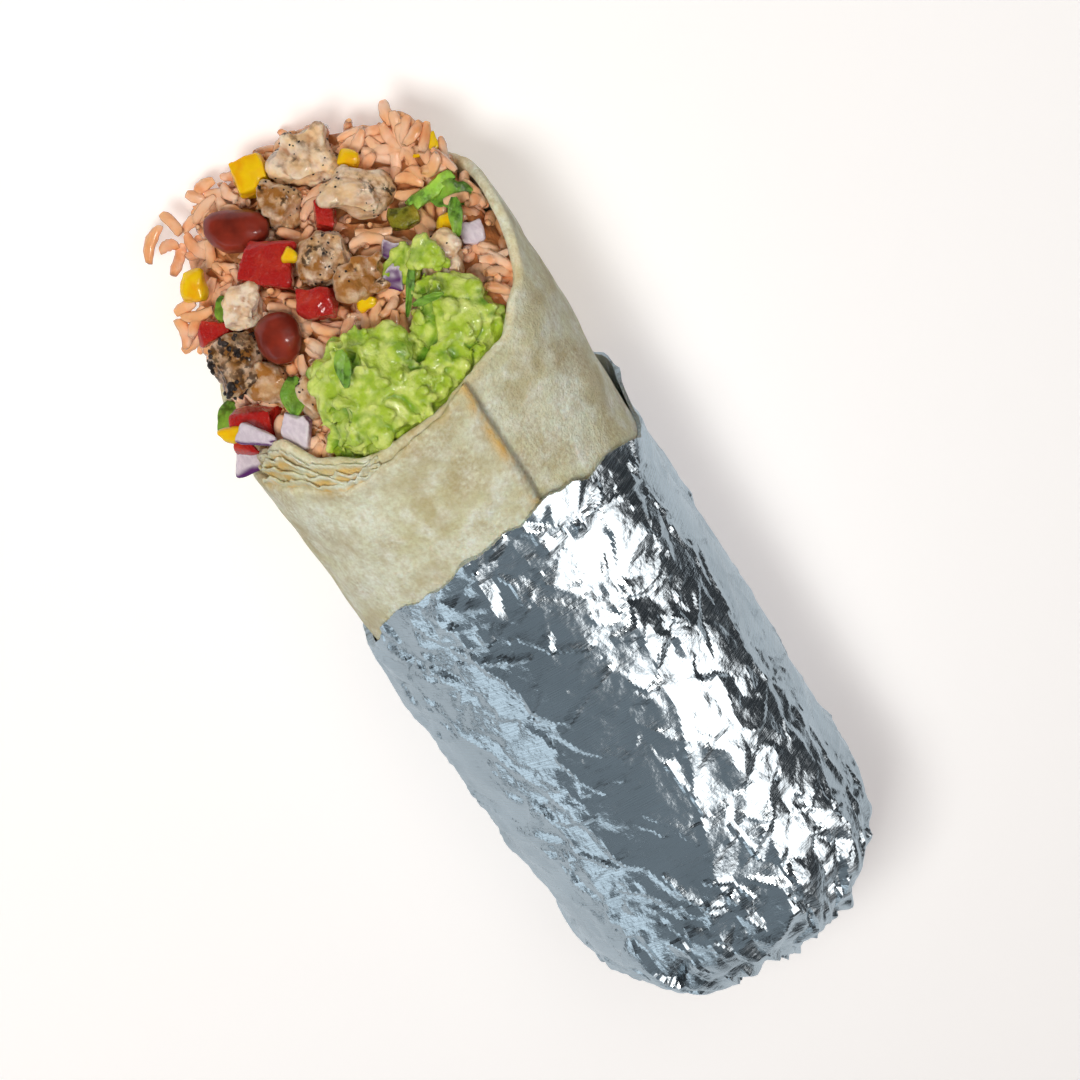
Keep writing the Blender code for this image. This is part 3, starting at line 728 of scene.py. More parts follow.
def crease_height(around, along, width, route):
    """A folded line: a sharp ridge along a route, steep on one side and long on the other."""
    scale = math.radians(1) * WAIST_HALF_WIDTH / MM
    stops = np.array([(angle * scale, run) for angle, run in route], float)
    best = np.full(len(around), 1e9)
    side = np.zeros(len(around))
    for (x0, y0), (x1, y1) in zip(stops, stops[1:]):
        dx, dy = x1 - x0, y1 - y0
        size = math.hypot(dx, dy)
        share = np.clip(((around - x0) * dx + (along - y0) * dy) / size ** 2, 0, 1)
        away = np.hypot(around - x0 - share * dx, along - y0 - share * dy)
        left = ((along - y0) * dx - (around - x0) * dy) / size
        nearer = away < best
        best = np.where(nearer, away, best)
        side = np.where(nearer, left, side)
    steep = np.where(side > 0, width * 0.55, width * 1.2)
    return np.clip(1 - best / steep, 0, 1) ** 1.3


def short_creases(rng, count):
    """Short random folds over the whole sheet, most of them slanting across the roll."""
    made = []
    for _ in range(count):
        angle, run = rng.uniform(-180, 180), rng.uniform(34, 150)
        slant, length = rng.normal(0.9, 0.6), rng.uniform(5, 17)
        ahead = (length * math.sin(slant) / 0.64, length * math.cos(slant))
        kink = rng.uniform(-2, 2)
        made.append((rng.uniform(0.25, 0.7), rng.uniform(1.8, 4.0),
                     [(angle, run), (angle + ahead[0] / 2 + kink, run + ahead[1] / 2 - kink),
                      (angle + ahead[0], run + ahead[1])]))
    return made


def foil_edge(degrees, rng):
    """Where the torn front edge lies: the broad line, a ragged tear and fine teeth."""
    turn = (np.asarray(degrees) + 180) % 360 - 180
    edge = eased(FOIL_EDGE, turn)
    knots = rng.uniform(-0.9, 0.9, 64)
    ragged = np.interp(turn, np.linspace(-180, 180, 65), np.append(knots, knots[0]))
    teeth = np.abs((turn / 360 * 150) % 1 - 0.5)
    return (edge + ragged + 0.5 * teeth) * MM


def foil_heights(run, degrees, edge):
    """How far the foil stands off its resting place: folds, facets, crumples, creases and pleats, in metres."""
    scale = math.radians(1) * WAIST_HALF_WIDTH / MM
    around, along = (degrees + 180) * scale, run / MM
    flat = degrees * scale
    warp = rough(np.stack([around, along, 0 * along], -1), 9, 3) * 1.6
    u, v = around + warp, along - warp
    whole = 2 * math.pi * WAIST_HALF_WIDTH / MM
    u = u % whole
    broad = facet_heights(facets(1, 17, 200, 1.7), u, v)
    middle = facet_heights(facets(2, 7, 200, 1.3), u, v)
    fine = facet_heights(facets(3, 3.0, 200), u, v)
    near_edge = 1 - ramp(6, 34, (run - edge) / MM)
    at_end = ramp(116, 148, along)
    lit_side = np.exp(-((degrees - 24) / 20) ** 2)
    calm = ramp(-0.15, 0.45, rough(np.stack([around, along, 0 * along], -1), 24, 8))
    left_side = np.exp(-((degrees + 62) / 26) ** 2)
    busy = 0.36 + 0.6 * near_edge + 0.9 * at_end + 0.6 * lit_side + 0.5 * left_side + 0.35 * (1 - calm)
    busy = np.clip(busy, 0, 1.5)
    height = sizes().fold_height / MM * 0.55 * broad
    height += sizes().crumple_height / MM * (1.05 * busy * middle + 0.5 * busy ** 1.5 * fine)
    wobble = rough(np.stack([around, along, 0 * along], -1), 6, 12)
    strength = 0.7 + 0.3 * wobble
    for tall, width, route in CREASES:
        height += 0.75 * tall * strength * crease_height(flat + wobble, along - wobble, width * 0.6, route)
    for tall, width, route in short_creases(np.random.default_rng(7), 150):
        height += 0.7 * tall * crease_height(flat + 0.3 * wobble, along, width * 0.6, route)
    round_end = np.clip((along - 132) / 30, 0, 1)
    pleats = np.abs(np.sin(np.radians(degrees) * 7 + 2.6 * warp / 1.6 + along / 30)) ** 0.8
    height += round_end * (1.5 * pleats + 1.0 * middle + 1.3 * fine)
    return height * MM


class BURRITO_OT_foil(bpy.types.Operator):
    """Wraps the roll in crumpled kitchen foil with a torn front edge"""

    bl_idname = "burrito.foil"
    bl_label = "Foil"

    def execute(self, context):
        columns = 430
        rng = np.random.default_rng(11)
        degrees = np.arange(columns) * 360 / columns - 180
        edge = foil_edge(degrees, rng)
        level = 60 * MM
        runs = [edge + (level - edge) * share for share in np.linspace(0, 1, 44)]
        runs += [np.full(columns, run) for run in np.linspace(level, END_START, 122)[1:]]
        last = END_START + END_DEPTH * 87 / 90
        runs += [np.full(columns, run) for run in np.linspace(END_START, last, 60)[1:]]
        run = np.stack(runs)
        angle = np.broadcast_to(degrees, run.shape)
        height = foil_heights(run.ravel(), angle.ravel(), np.broadcast_to(edge, run.shape).ravel())
        height = height.reshape(run.shape)
        pressed = np.clip(ramp(2 * MM, 12 * MM, roll_points(run, angle, FOIL_GAP)[..., 2]), 0.06, 1)
        flap = np.exp(-((angle - FLAP_ANGLE) / FLAP_SPREAD) ** 2 - (run - edge) / FLAP_LENGTH)
        lift = np.maximum((height + 0.8 * MM) * pressed, 0.1 * MM) + FLAP_LIFT * flap
        outer = roll_points(run, angle, FOIL_GAP + lift)
        outer[..., 2] = np.maximum(outer[..., 2], 0.05 * MM)
        inside = [0, 8, 24, 60, 120, 164, 190, 215]
        inner = roll_points(run[inside], angle[inside], FOIL_GAP * 0.4 + FLAP_LIFT * flap[inside])
        tip = roll_points(np.array([END_START + END_DEPTH] * 2), 0.0, np.array([FOIL_GAP + 1.0 * MM, 0.0]))
        points = np.concatenate([outer.reshape(-1, 3), inner.reshape(-1, 3), tip])
        rows = len(run)
        first = rows * columns
        faces = grid_faces(rows, columns, True, flip=True).tolist()
        faces += grid_faces(len(inner), columns, True, first).tolist()
        following = (np.arange(columns) + 1) % columns
        around = np.arange(columns)
        faces += np.stack([around, following, first + following, first + around], -1).tolist()
        top, bottom = (rows - 1) * columns, first + (len(inner) - 1) * columns
        faces += [(top + j, top + i, len(points) - 2) for i, j in zip(around.tolist(), following.tolist())]
        faces += [(bottom + i, bottom + j, len(points) - 1) for i, j in zip(around.tolist(), following.tolist())]
        made = show_mesh("foil", points, faces)
        made.data.set_sharp_from_angle(angle=math.radians(7))
        arc = np.concatenate([angle.ravel(), np.tile(degrees, len(inner)), [0, 0]])
        length = np.concatenate([run.ravel(), np.repeat(0.0, len(inner) * columns), [0, 0]])
        places = np.stack([np.radians(arc) * WAIST_HALF_WIDTH, length], -1)
        corners = np.empty(len(made.data.loops), np.int32)
        made.data.loops.foreach_get("vertex_index", corners)
        layer = made.data.uv_layers.new(name="unrolled")
        layer.data.foreach_set("uv", places[corners].astype(np.float32).ravel())
        dress(made, rolled_foil(), "foil", "foil_wrap")
        return {"FINISHED"}


# ---------------------------------------------------------------- tortilla


def layer_offset(turn):
    """How far the sheet's outer face lies inside the roll's outside, by its turn from the outer edge."""
    return -eased([(360 - DIVE_TURN, 0.0), (360, sizes().sheet + 0.5 * GAP)], turn)


class BURRITO_OT_tortilla(bpy.types.Operator):
    """Rolls the tortilla: one sheet with a rounded, uneven rim and a raised outer edge"""

    bl_idname = "burrito.tortilla"
    bl_label = "Tortilla"

    def execute(self, context):
        sheet = sizes().sheet
        turns = np.linspace(0, SHEET_TURN, 320)
        rim = -eased(RIM_REACH, turns) * MM
        rim = rim + rough(np.stack([turns * 0.6, 0 * turns, 0 * turns], -1), 9, 2) * 0.5 * MM
        rim = rim + rough(np.stack([turns * 0.6, 0 * turns, 0 * turns], -1), 2.2, 4) * 0.3 * MM
        bend = np.linspace(0, math.pi / 2, 6)
        nose = sheet * 0.55
        runs = [rim + nose * (1 - math.cos(b)) for b in bend]
        thick = [max(0.06, math.sin(b)) for b in bend]
        shares = np.linspace(0, 1, 92)[1:] ** 1.15
        runs += [rim + nose + (58 * MM - rim - nose) * share for share in shares]
        thick += [1.0] * len(shares)
        far = list(np.linspace(58 * MM, END_START, 7)[1:])
        far += [END_START + END_DEPTH * t / 90 for t in (20, 40, 60, 78)]
        runs += [np.full(len(turns), run) for run in far]
        thick += [1.0] * len(far)
        run = np.stack(runs)
        turn = np.broadcast_to(turns, run.shape)
        angle = SEAM_ANGLE - turn
        thick = np.array(thick)[:, None]
        top = layer_offset(turn)
        edge_fall = 1.1 * MM * np.clip(1 - turn / 5, 0, 1) ** 2
        middle = top - sheet / 2
        places = roll_points(run, angle, top)
        swell = rough(places.reshape(-1, 3), 13 * MM, 1).reshape(run.shape) * 0.45 * MM
        swell += rough(places.reshape(-1, 3), 4.5 * MM, 6).reshape(run.shape) * 0.14 * MM
        ridge_angle = 56 - 0.65 * np.clip((run + 10 * MM) / MM, 0, 40)
        under_foil = ramp(25, 32, run / MM)
        ridge = np.exp(-((angle - ridge_angle) / 6) ** 2) * 1.7 * MM * ramp(0, 6, (run - rim) / MM)
        ridge = ridge * (1 - under_foil)
        seam = np.exp(-(turn / 9) ** 2) * 0.7 * MM * (1 - 0.8 * under_foil)
        shown = 1 - 0.7 * ramp(350, 361, turn)
        outer = roll_points(run, angle, middle + sheet / 2 * thick + (swell + ridge + seam) * shown - edge_fall)
        inner = roll_points(run, angle, middle - sheet / 2 * thick + swell * 0.5 * shown + edge_fall * 0.3)
        points = np.concatenate([outer.reshape(-1, 3), inner.reshape(-1, 3)])
        made = show_mesh("tortilla_sheet", points, sheet_faces(*run.shape))
        fold = np.exp(-((run - rim) / (1.2 * MM)) ** 2) * 0.2
        golden = np.exp(-((turn - 1.5) / 2.2) ** 2) * ramp(-2, 3, (run - rim) / MM)
        crest = np.exp(-((angle - ridge_angle) / 4) ** 2) * 0.35
        stain = np.clip(fold + golden + crest * shown, 0, 1)
        paint(made, "stain", np.concatenate([stain.ravel(), stain.ravel() * 0.6]))
        # Painted shade: a band beside the ridge is darkened like toast, on top of random toasted patches.
        painted_ridge_shade = np.exp(-((angle - ridge_angle - 13) / 9) ** 2) * shown * ramp(2, 12, (run - rim) / MM)
        patches = ramp(0.15, 0.65, rough(places.reshape(-1, 3), 9 * MM, 21)).reshape(run.shape)
        toast_and_ridge_shade = np.clip(0.75 * painted_ridge_shade + 0.45 * patches, 0, 1)
        paint(made, "toast_and_ridge_shade", np.concatenate([toast_and_ridge_shade.ravel(), toast_and_ridge_shade.ravel()]))
        dress(made, griddled_dough(), "tortilla", "tortilla")
        return {"FINISHED"}


class BURRITO_OT_plies(bpy.types.Operator):
    """Tears the folded lip of the tortilla into thin, curling plies"""

    bl_idname = "burrito.plies"
    bl_label = "Tortilla plies"

    def execute(self, context):
        turns = np.linspace(398, 458, 110)
        shares = np.linspace(0, 1, 14)[:, None]
        lip = -eased(RIM_REACH, turns) * MM
        rim = -eased(RIM_REACH, turns - 360) * MM
        points, faces, stains = [], [], []
        for ply in range(4):
            wander = rough(np.stack([turns, 0 * turns, 0 * turns + 50 * ply], -1), 9, ply) * 1.5
            wander += rough(np.stack([turns, 0 * turns, 0 * turns + 50 * ply], -1), 2.2, ply) * 0.5
            lag = (ply + 0.4) / 4.4
            front = lip + (rim - lip) * lag + wander * MM
            run = front + (rim + 4 * MM - front) * shares
            behind = (run - front) / MM
            base = -sizes().sheet - 0.5 * GAP + (0.2 + 0.58 * ply) * MM
            curl = (0.6 + 0.6 * rough(np.stack([turns, 0 * turns + 9 * ply, 0 * turns], -1), 6, ply))
            lift = base + np.maximum(curl, 0) * np.exp(-(behind / 1.1) ** 2) * MM
            lift += rough(roll_points(run, SEAM_ANGLE - turns, base).reshape(-1, 3), 3 * MM, ply).reshape(
                run.shape) * 0.12 * MM
            ends = ramp(398, 404, turns) * ramp(458, 450, turns)
            lift -= (1 - ends) * 1.2 * MM
            first = sum(len(part) for part in points)
            points.append(roll_points(run, SEAM_ANGLE - turns, lift).reshape(-1, 3))
            points.append(roll_points(run, SEAM_ANGLE - turns, lift - 0.5 * MM).reshape(-1, 3))
            faces += [tuple(first + corner for corner in face) for face in sheet_faces(*run.shape)]
            stain = ramp(0.5, 1.5, behind) * ramp(4.5, 2.0, behind) * 0.75
            stains += [stain.ravel(), stain.ravel()]
        made = show_mesh("tortilla_plies", np.concatenate(points), faces)
        paint(made, "stain", np.concatenate(stains))
        dress(made, bpy.data.materials["flour_tortilla_griddled"], "tortilla")
        return {"FINISHED"}


# ---------------------------------------------------------------- rice


def grain_shape(rng, length, width):
    """A cooked grain: a bent, slightly lumpy spindle with blunt ends."""
    rings, sides = 9, 8
    share = np.linspace(0.03, 0.97, rings)
    radius = np.sin(math.pi * share) ** 0.24 * width / 2
    radius *= 1 + rng.uniform(-0.11, 0.11, rings)
    bend = rng.uniform(-1.2, 1.2) * MM
    along = (share - 0.5) * length
    middle = np.stack([along, bend * (1 - (2 * share - 1) ** 2), 0 * along], -1)
    turns = np.arange(sides) * 2 * math.pi / sides
    flatness = rng.uniform(0.72, 0.95)
    circle = np.stack([0 * turns, np.cos(turns), flatness * np.sin(turns)], -1)
    body = middle[:, None] + radius[:, None, None] * circle[None]
    tips = [middle[0] - (length * 0.025, 0, 0), middle[-1] + (length * 0.025, 0, 0)]
    points = np.concatenate([body.reshape(-1, 3), tips])
    faces = grid_faces(rings, sides, True, flip=True).tolist()
    last = (rings - 1) * sides
    faces += [(rings * sides, (i + 1) % sides, i) for i in range(sides)]
    faces += [(rings * sides + 1, last + i, last + (i + 1) % sides) for i in range(sides)]
    return points, faces


def placed(shape, place, facing, heading):
    """A shape moved to a place, its Z along `facing` and its X as near `heading` as that allows."""
    up = Vector(facing).normalized()
    side = up.cross(Vector(heading)).normalized()
    ahead = side.cross(up)
    turn = np.array([ahead, side, up])
    return shape[0] @ turn + np.array(place), shape[1]


def surface_samples(made, count, rng):
    """Random places on an object's surface, each with its normal."""
    mesh = made.data
    mesh.calc_loop_triangles()
    places = np.empty(len(mesh.vertices) * 3, np.float32)
    mesh.vertices.foreach_get("co", places)
    triangles = np.empty(len(mesh.loop_triangles) * 3, np.int32)
    mesh.loop_triangles.foreach_get("vertices", triangles)
    corners = places.reshape(-1, 3).astype(float)[triangles.reshape(-1, 3)]
    cross = np.cross(corners[:, 1] - corners[:, 0], corners[:, 2] - corners[:, 0])
    area = np.linalg.norm(cross, axis=1)
    chosen = rng.choice(len(area), count, p=area / area.sum())
    a, b = rng.random(count), rng.random(count)
    a, b = np.where(a + b > 1, 1 - a, a), np.where(a + b > 1, 1 - b, b)
    tri = corners[chosen]
    places = tri[:, 0] + a[:, None] * (tri[:, 1] - tri[:, 0]) + b[:, None] * (tri[:, 2] - tri[:, 0])
    return places, cross[chosen] / area[chosen][:, None]


def crowded(tree, place, heading, length, clearance):
    """Whether a grain laid here would run into the pieces of `tree`."""
    for share in (-0.38, 0, 0.38):
        spot = Vector(place) + Vector(heading) * length * share
        hit, way, _, distance = tree.find_nearest(spot, 6 * MM)
        if hit is not None and ((spot - hit).dot(way) < 0 or distance < clearance):
            return True
    return False


def rice_on(made, others, count, lift, rng, keep=None):
    """Grains laid side by side in small bundles on an object, clear of its neighbours."""
    length, width = sizes().grain_length, sizes().grain_width
    places, normals = surface_samples(made, count * 14, rng)
    swirl = np.stack([rough(places, 11 * MM, seed) for seed in (31, 32, 33)], -1)
    swirl += rng.normal(size=swirl.shape) * 0.22
    cells, shapes = {}, []
    for place, normal, lean in zip(places, normals, swirl):
        if len(shapes) >= count:
            break
        if keep and not keep(place, normal):
            continue
        heading = lean - normal * (lean @ normal) * 0.85
        heading /= np.linalg.norm(heading)
        cell = tuple(int(c // length) for c in place)
        near = [other for key in cells_round(cell) for other in cells.get(key, [])]
        long = length * rng.uniform(0.75, 1.1)
        spot = place + normal * rng.uniform(*lift) * MM
        if near:
            away = spot - np.array(near)
            along = np.abs(away @ heading)
            beside = np.sqrt(np.maximum((away ** 2).sum(axis=1) - along ** 2, 0))
            if ((along < 0.66 * length) & (beside < 0.66 * width)).any():
                continue
        if crowded(others, spot, heading, long, width * 0.2):
            continue
        shape = grain_shape(rng, long, width * rng.uniform(0.88, 1.1))
        shapes.append(placed(shape, spot, normal + rng.normal(size=3) * 0.15, heading))
        cells.setdefault(cell, []).append(spot)
    return shapes


def cells_round(cell):
    """A cell's own key and those of its neighbours."""
    steps = (-1, 0, 1)
    return [(cell[0] + i, cell[1] + j, cell[2] + k) for i in steps for j in steps for k in steps]


# Grains of the strings and clumps that stand off the heap: mm across and down the face, turn and length.
STRAY_GRAINS = [
    (-13, 71, 0, 3.5), (-16, 70, 55, 3.1), (-15, 68, 5, 4), (-15.3, 66, 15, 3), (-18.6, 65.3, 0, 6.2),
    (-23.5, 68, 80, 5), (-28.8, 66.3, -40, 7.4), (-26.7, 64, 15, 3), (-26.5, 61, -40, 6.3),
    (-21, 61, 75, 6.6), (-22, 61, -15, 4.6),
    (-30, 46.6, -35, 6), (-25, 50.6, -40, 6.7), (-30.6, 50.7, 5, 3.6), (-34.5, 46.6, 105, 5.4),
    (-33.2, 43.8, -5, 5), (-29, 42.3, -30, 6.7), (-26, 42.8, -20, 4.5), (-27.5, 45, 60, 6), (-29, 48.5, 20, 6),
    (28.2, 62, 105, 4.6), (28.2, 58.5, 110, 5.5), (26.4, 57, 85, 6.2), (28.6, 55, 95, 6),
    (18, 60.2, -25, 7.8), (20.4, 55.7, 10, 8), (22.3, 55, 50, 8), (22.3, 57, 80, 5), (25, 53, 120, 7),
]


class BURRITO_OT_rice(bpy.types.Operator):
    """Fills the roll with a core of packed rice and lays loose grains over the heap"""

    bl_idname = "burrito.rice"
    bl_label = "Rice"

    def execute(self, context):
        rng = np.random.default_rng(21)
        core = refined("rice_filling", "rice_core", 1.3 * MM, 3)
        places, normals = points_of(core)
        bumpy = rough(places, 2.6 * MM, 4)
        # Beside the wall on its right the heap rises level with the rim.
        wall, _ = surface_of(["tortilla"])
        across = (places[:, 1] - MIDDLE) / MM
        gap = np.array([wall.find_nearest(Vector(place))[3] for place in places])
        level = ramp(8, 18, across) * ramp(9 * MM, 4 * MM, gap) * ramp(RIM_TOP + 20 * MM, RIM_TOP + 4 * MM, places[:, 0])
        forward = np.array([-5.5 * MM, 0, 1.5 * MM]) * level[:, None]
        # Its free left side is lean, so that the strings of grains stand clear of it.
        lean = ramp(-14, -28, across) * ramp(RIM_TOP - 22 * MM, RIM_TOP - 38 * MM, places[:, 0])
        forward += np.array([2.0 * MM, 6.5 * MM, 0]) * lean[:, None]
        sunk = -2.0 + 1.3 * level
        move_points(core, places + normals * ((sunk + 0.5 * bumpy) * MM)[:, None] + forward)
        dress(core, rice_core(), "rice", "rice_filling")

        others = [name for name in FILLING if not name.startswith("rice_")]
        around, _ = surface_of(others + ["tortilla"])

        def outside(place, normal):
            if place[0] > RIM_TOP + 8 * MM or place[2] < 2.2 * MM:
                return False
            return around.ray_cast(Vector(place + normal * 0.1 * MM), Vector(normal), 1.5 * MM)[0] is None

        count = sizes().grain_count
        shapes = []
        for lift in (0.0, 1.7):
            shapes += rice_on(core, around, count, (lift - 0.3, lift + 0.4), rng, outside)
        dress(joined("rice_grains", shapes), cooked_rice(), "rice")

        strays, _ = surface_of(["rice_string", "rice_clump", "rice_stalk"])
        loose = []
        for across, down, turn, length in STRAY_GRAINS:
            shape = grain_shape(rng, (length + 1.6) * MM, sizes().grain_width)
            loose.append(on_face(strays, shape, across, down, -1.3, turn, rng.uniform(-15, 15)))
        dress(joined("rice_loose", loose), bpy.data.materials["long_grain_rice_boiled"], "rice",
              "rice_string", "rice_clump", "rice_stalk")
        return {"FINISHED"}


# ---------------------------------------------------------------- guacamole


def lumps(places, size, seed):
    """Rounded lumps: high at scattered centres and low in the clefts between them, from 0 to 1."""
    shifted = np.asarray(places) / size + seed * 3.7
    nearest = np.array([noise.voronoi(place)[0][0] for place in shifted.tolist()])
    return np.clip(1 - (nearest * 1.3) ** 2, 0, 1)


def ball(fineness):
    """The points and faces of a round ball of radius 1."""
    shape = bmesh.new()
    bmesh.ops.create_icosphere(shape, subdivisions=fineness, radius=1)
    points = np.array([vert.co for vert in shape.verts])
    faces = [tuple(vert.index for vert in face.verts) for face in shape.faces]
    shape.free()
    return points, faces


def pebble(rng, radius, fineness=2):
    """A rounded, slightly flattened lump of the given radius."""
    points, faces = ball(fineness)
    points = points * rng.uniform(0.65, 1.25, 3) * radius
    return points * (1 + 0.2 * rough(points, radius * 1.2, rng.integers(99)))[:, None], faces


class BURRITO_OT_guacamole(bpy.types.Operator):
    """Spreads the guacamole: lobes of crushed avocado with lumps and clefts"""

    bl_idname = "burrito.guacamole"
    bl_label = "Guacamole"

    def execute(self, context):
        rng = np.random.default_rng(14)
        base = refined("guacamole", "guacamole_base", 0.8 * MM, 3)
        places, normals = points_of(base)
        move_points(base, places - normals * 1.5 * MM)
        spots, ways = surface_samples(base, 1500, rng)
        front = spots[:, 0] < RIM_TOP + 14 * MM
        shapes = [(points_of(base)[0], [tuple(face.vertices) for face in base.data.polygons])]
        for spot, way in zip(spots[front], ways[front]):
            radius = sizes().mash_lump * rng.choice([0.2, 0.3, 0.42, 0.6], p=[0.4, 0.3, 0.2, 0.1])
            swirl = rng.normal(size=3)
            shapes.append(placed(pebble(rng, radius), spot + way * rng.uniform(0.1, 0.9) * MM, way, swirl))
        bpy.data.objects.remove(base)
        mash = welded(joined("guacamole_mash", shapes), 0.48 * MM, 2)
        places, normals = points_of(mash)
        fine = rough(places, 1.5 * MM, 3) * 0.16 - 1.5 * ramp(0.3, 0.0, lumps(places, 8 * MM, 2))
        move_points(mash, places + normals * (fine * MM)[:, None])
        # Painted shade: marks the clefts, where the mash lies below its softened form, for the material to darken.
        paint(mash, "hollow_shade", ramp(0.05 * MM, -0.75 * MM, standing(mash, 24)))
        dress(mash, mashed_avocado(), "guacamole", "guacamole")
        return {"FINISHED"}


# ---------------------------------------------------------------- beans, meat and vegetables


def shaped(node, name, voxel, rounding, *waves):
    """A CAD morsel made fine and soft, with waves of (size, height, seed) over its surface."""
    made = refined(node, name, voxel, rounding)
    places, normals = points_of(made)
    height = np.zeros(len(places))
    for size, tall, seed in waves:
        height += rough(places, size * MM, seed) * tall * MM
    move_points(made, places + normals * height[:, None])
    return made


def knife_cuts(made, rng, count, share):
    """Takes slices off a morsel's corners, down to `share` of its reach in random directions."""
    places, _ = points_of(made)
    centre = places.mean(axis=0)
    for _ in range(count):
        cut = rng.normal(size=3)
        cut /= np.linalg.norm(cut)
        proud = (places - centre) @ cut
        over = np.maximum(0, proud - share * proud.max())
        places = places - np.outer(over, cut) * 0.85
    move_points(made, places)


class BURRITO_OT_beans(bpy.types.Operator):
    """Shapes the kidney beans: smooth, plump and a little wrinkled"""

    bl_idname = "burrito.beans"
    bl_label = "Beans"

    def execute(self, context):
        skin = bean_skin()
        for node in ("bean_front", "bean_left"):
            bean = shaped(node, "kidney_" + node, 0.45 * MM, 14, (6, 0.22, 1), (2.4, 0.05, 2))
            dress(bean, skin, "bean", node)
        return {"FINISHED"}


# Each piece's share of browned crust and of char, and where its crust faces: across, up the face, outwards.
MEAT = {
    "chicken_top": (0.5, 0.8, (0.7, -0.6, 0.1)),
    "chicken_right": (0.6, 0.7, (0.8, 0.4, 0.1)),
    "chicken_small": (0.8, 0.7, (-0.2, 0.2, 0.8)),
    "chicken_middle": (0.7, 0.8, (-0.3, 0.1, 0.8)),
    "chicken_brown": (0.95, 0.3, (0.1, 0.2, 0.9)),
    "chicken_green": (0.45, 0.3, (0.2, 0.6, 0.3)),
    "chicken_wedge": (0.30, 0.2, (0.5, 0.0, 0.4)),
    "chicken_charred": (1.0, 1.5, (-0.2, 0.1, 0.9)),
    "chicken_low": (0.75, 0.7, (0.3, 0.4, 0.7)),
    "chicken_skin": (0.85, 0.15, (0.2, 0.3, 0.8)),
}


class BURRITO_OT_chicken(bpy.types.Operator):
    """Shapes the diced chicken: torn fibres, blunt corners and a browned, burnt crust"""

    bl_idname = "burrito.chicken"
    bl_label = "Chicken"

    def execute(self, context):
        out, up = face_axes()
        crumbs = []
        for seed, (node, (sear, char, (across, rise, forward))) in enumerate(MEAT.items()):
            meat = refined(node, "meat_" + node[8:], 0.42 * MM, 2)
            places, normals = points_of(meat)
            rng = np.random.default_rng(seed)
            grain = rng.normal(size=3)
            grain /= np.linalg.norm(grain)
            knife_cuts(meat, rng, 7, 0.74)
            places, normals = points_of(meat)
            fibres = places - np.outer(places @ grain, grain) * 0.75
            height = rough(places, 6 * MM, seed) * 1.2 + 0.8 * lumps(fibres, 2.8 * MM, seed) - 0.3
            height += 0.25 * lumps(fibres, 1.3 * MM, seed + 1) + rough(places, 1.0 * MM, seed + 5) * 0.07
            move_points(meat, places + normals * (height * MM)[:, None])
            places, normals = points_of(meat)
            way = np.array(Vector((0, across, 0)) + up * rise + out * forward)
            faced = ramp(0.0, 0.75, normals @ (way / np.linalg.norm(way)))
            relief = standing(meat, 16)
            crust = 0.75 * faced + 0.4 * ramp(0.0, 0.5 * MM, relief) + 0.35 * rough(places, 3.5 * MM, seed + 9)
            crust = np.clip(crust, 0, 1)
            # Painted shade: marks the clefts, where the meat lies below its softened form, for the material to
            # darken.
            paint(meat, "cleft_shade", 0.8 * ramp(0.08 * MM, -0.28 * MM, relief))
            paint(meat, "crust", crust)
            spots, ways = surface_samples(meat, 1200, rng)
            burnt = spots[(rough(spots, 4.5 * MM, seed + 3) > 0.45 - 0.35 * char)]
            for spot in burnt[:int(70 * char ** 1.5)]:
                crumb = pebble(rng, rng.uniform(0.18, 0.34 + 0.4 * char * (node == "chicken_charred")) * MM, 1)
                crumbs.append((crumb[0] + spot, crumb[1]))
            dress(meat, grilled_meat("chicken_grilled_" + node[8:], sear, char), "chicken", node)
        dress(joined("meat_crumbs", crumbs), burnt_crumbs(), "chicken")
        return {"FINISHED"}


class BURRITO_OT_tomato(bpy.types.Operator):
    """Shapes the tomato dice: crisp cut sides and softened edges"""

    bl_idname = "burrito.tomato"
    bl_label = "Tomato"

    def execute(self, context):
        flesh = cut_tomato()
        for seed, node in enumerate([name for name in FILLING if name.startswith("tomato_")]):
            dice = shaped(node, "diced_" + node, 0.4 * MM, 5, (5, 0.55, seed), (1.8, 0.16, seed + 3))
            knife_cuts(dice, np.random.default_rng(seed + 40), 5, 0.82)
            dress(dice, flesh, "tomato", node)
        return {"FINISHED"}


class BURRITO_OT_corn(bpy.types.Operator):
    """Shapes the sweetcorn kernels and the yellow dice"""

    bl_idname = "burrito.corn"
    bl_label = "Sweetcorn"

    def execute(self, context):
        kernel_skin = boiled_corn()
        for seed, node in enumerate(("corn_left", "corn_top", "corn_inner")):
            kernel = shaped(node, "kernel_" + node[5:], 0.35 * MM, 110, (4, 0.4, seed), (1.5, 0.07, seed + 3))
            dress(kernel, kernel_skin, "corn", node)
        dice = shaped("dice_yellow", "diced_yellow", 0.4 * MM, 4, (5, 0.25, 2), (1.6, 0.06, 5))
        dress(dice, kernel_skin, "corn", "dice_yellow")
        return {"FINISHED"}


class BURRITO_OT_onion(bpy.types.Operator):
    """Shapes the chopped red onion, with its coloured skin on one side"""

    bl_idname = "burrito.onion"
    bl_label = "Onion"

    def execute(self, context):
        layers = cut_onion()
        for seed, (node, side) in enumerate((("onion_low", (0, 1, 0)), ("onion_middle", (0, -0.4, 1)),
                                             ("onion_inner", (0, 1, -1)))):
            chip = shaped(node, "chopped_" + node, 0.35 * MM, 4, (4, 0.2, seed), (1.4, 0.05, seed + 4))
            places, normals = points_of(chip)
            facing = normals @ (np.array(side) / np.linalg.norm(side))
            paint(chip, "skin", ramp(0.55, 0.95, facing) * (1.0 if seed < 2 else 0.1))
            dress(chip, layers, "onion", node)
        return {"FINISHED"}


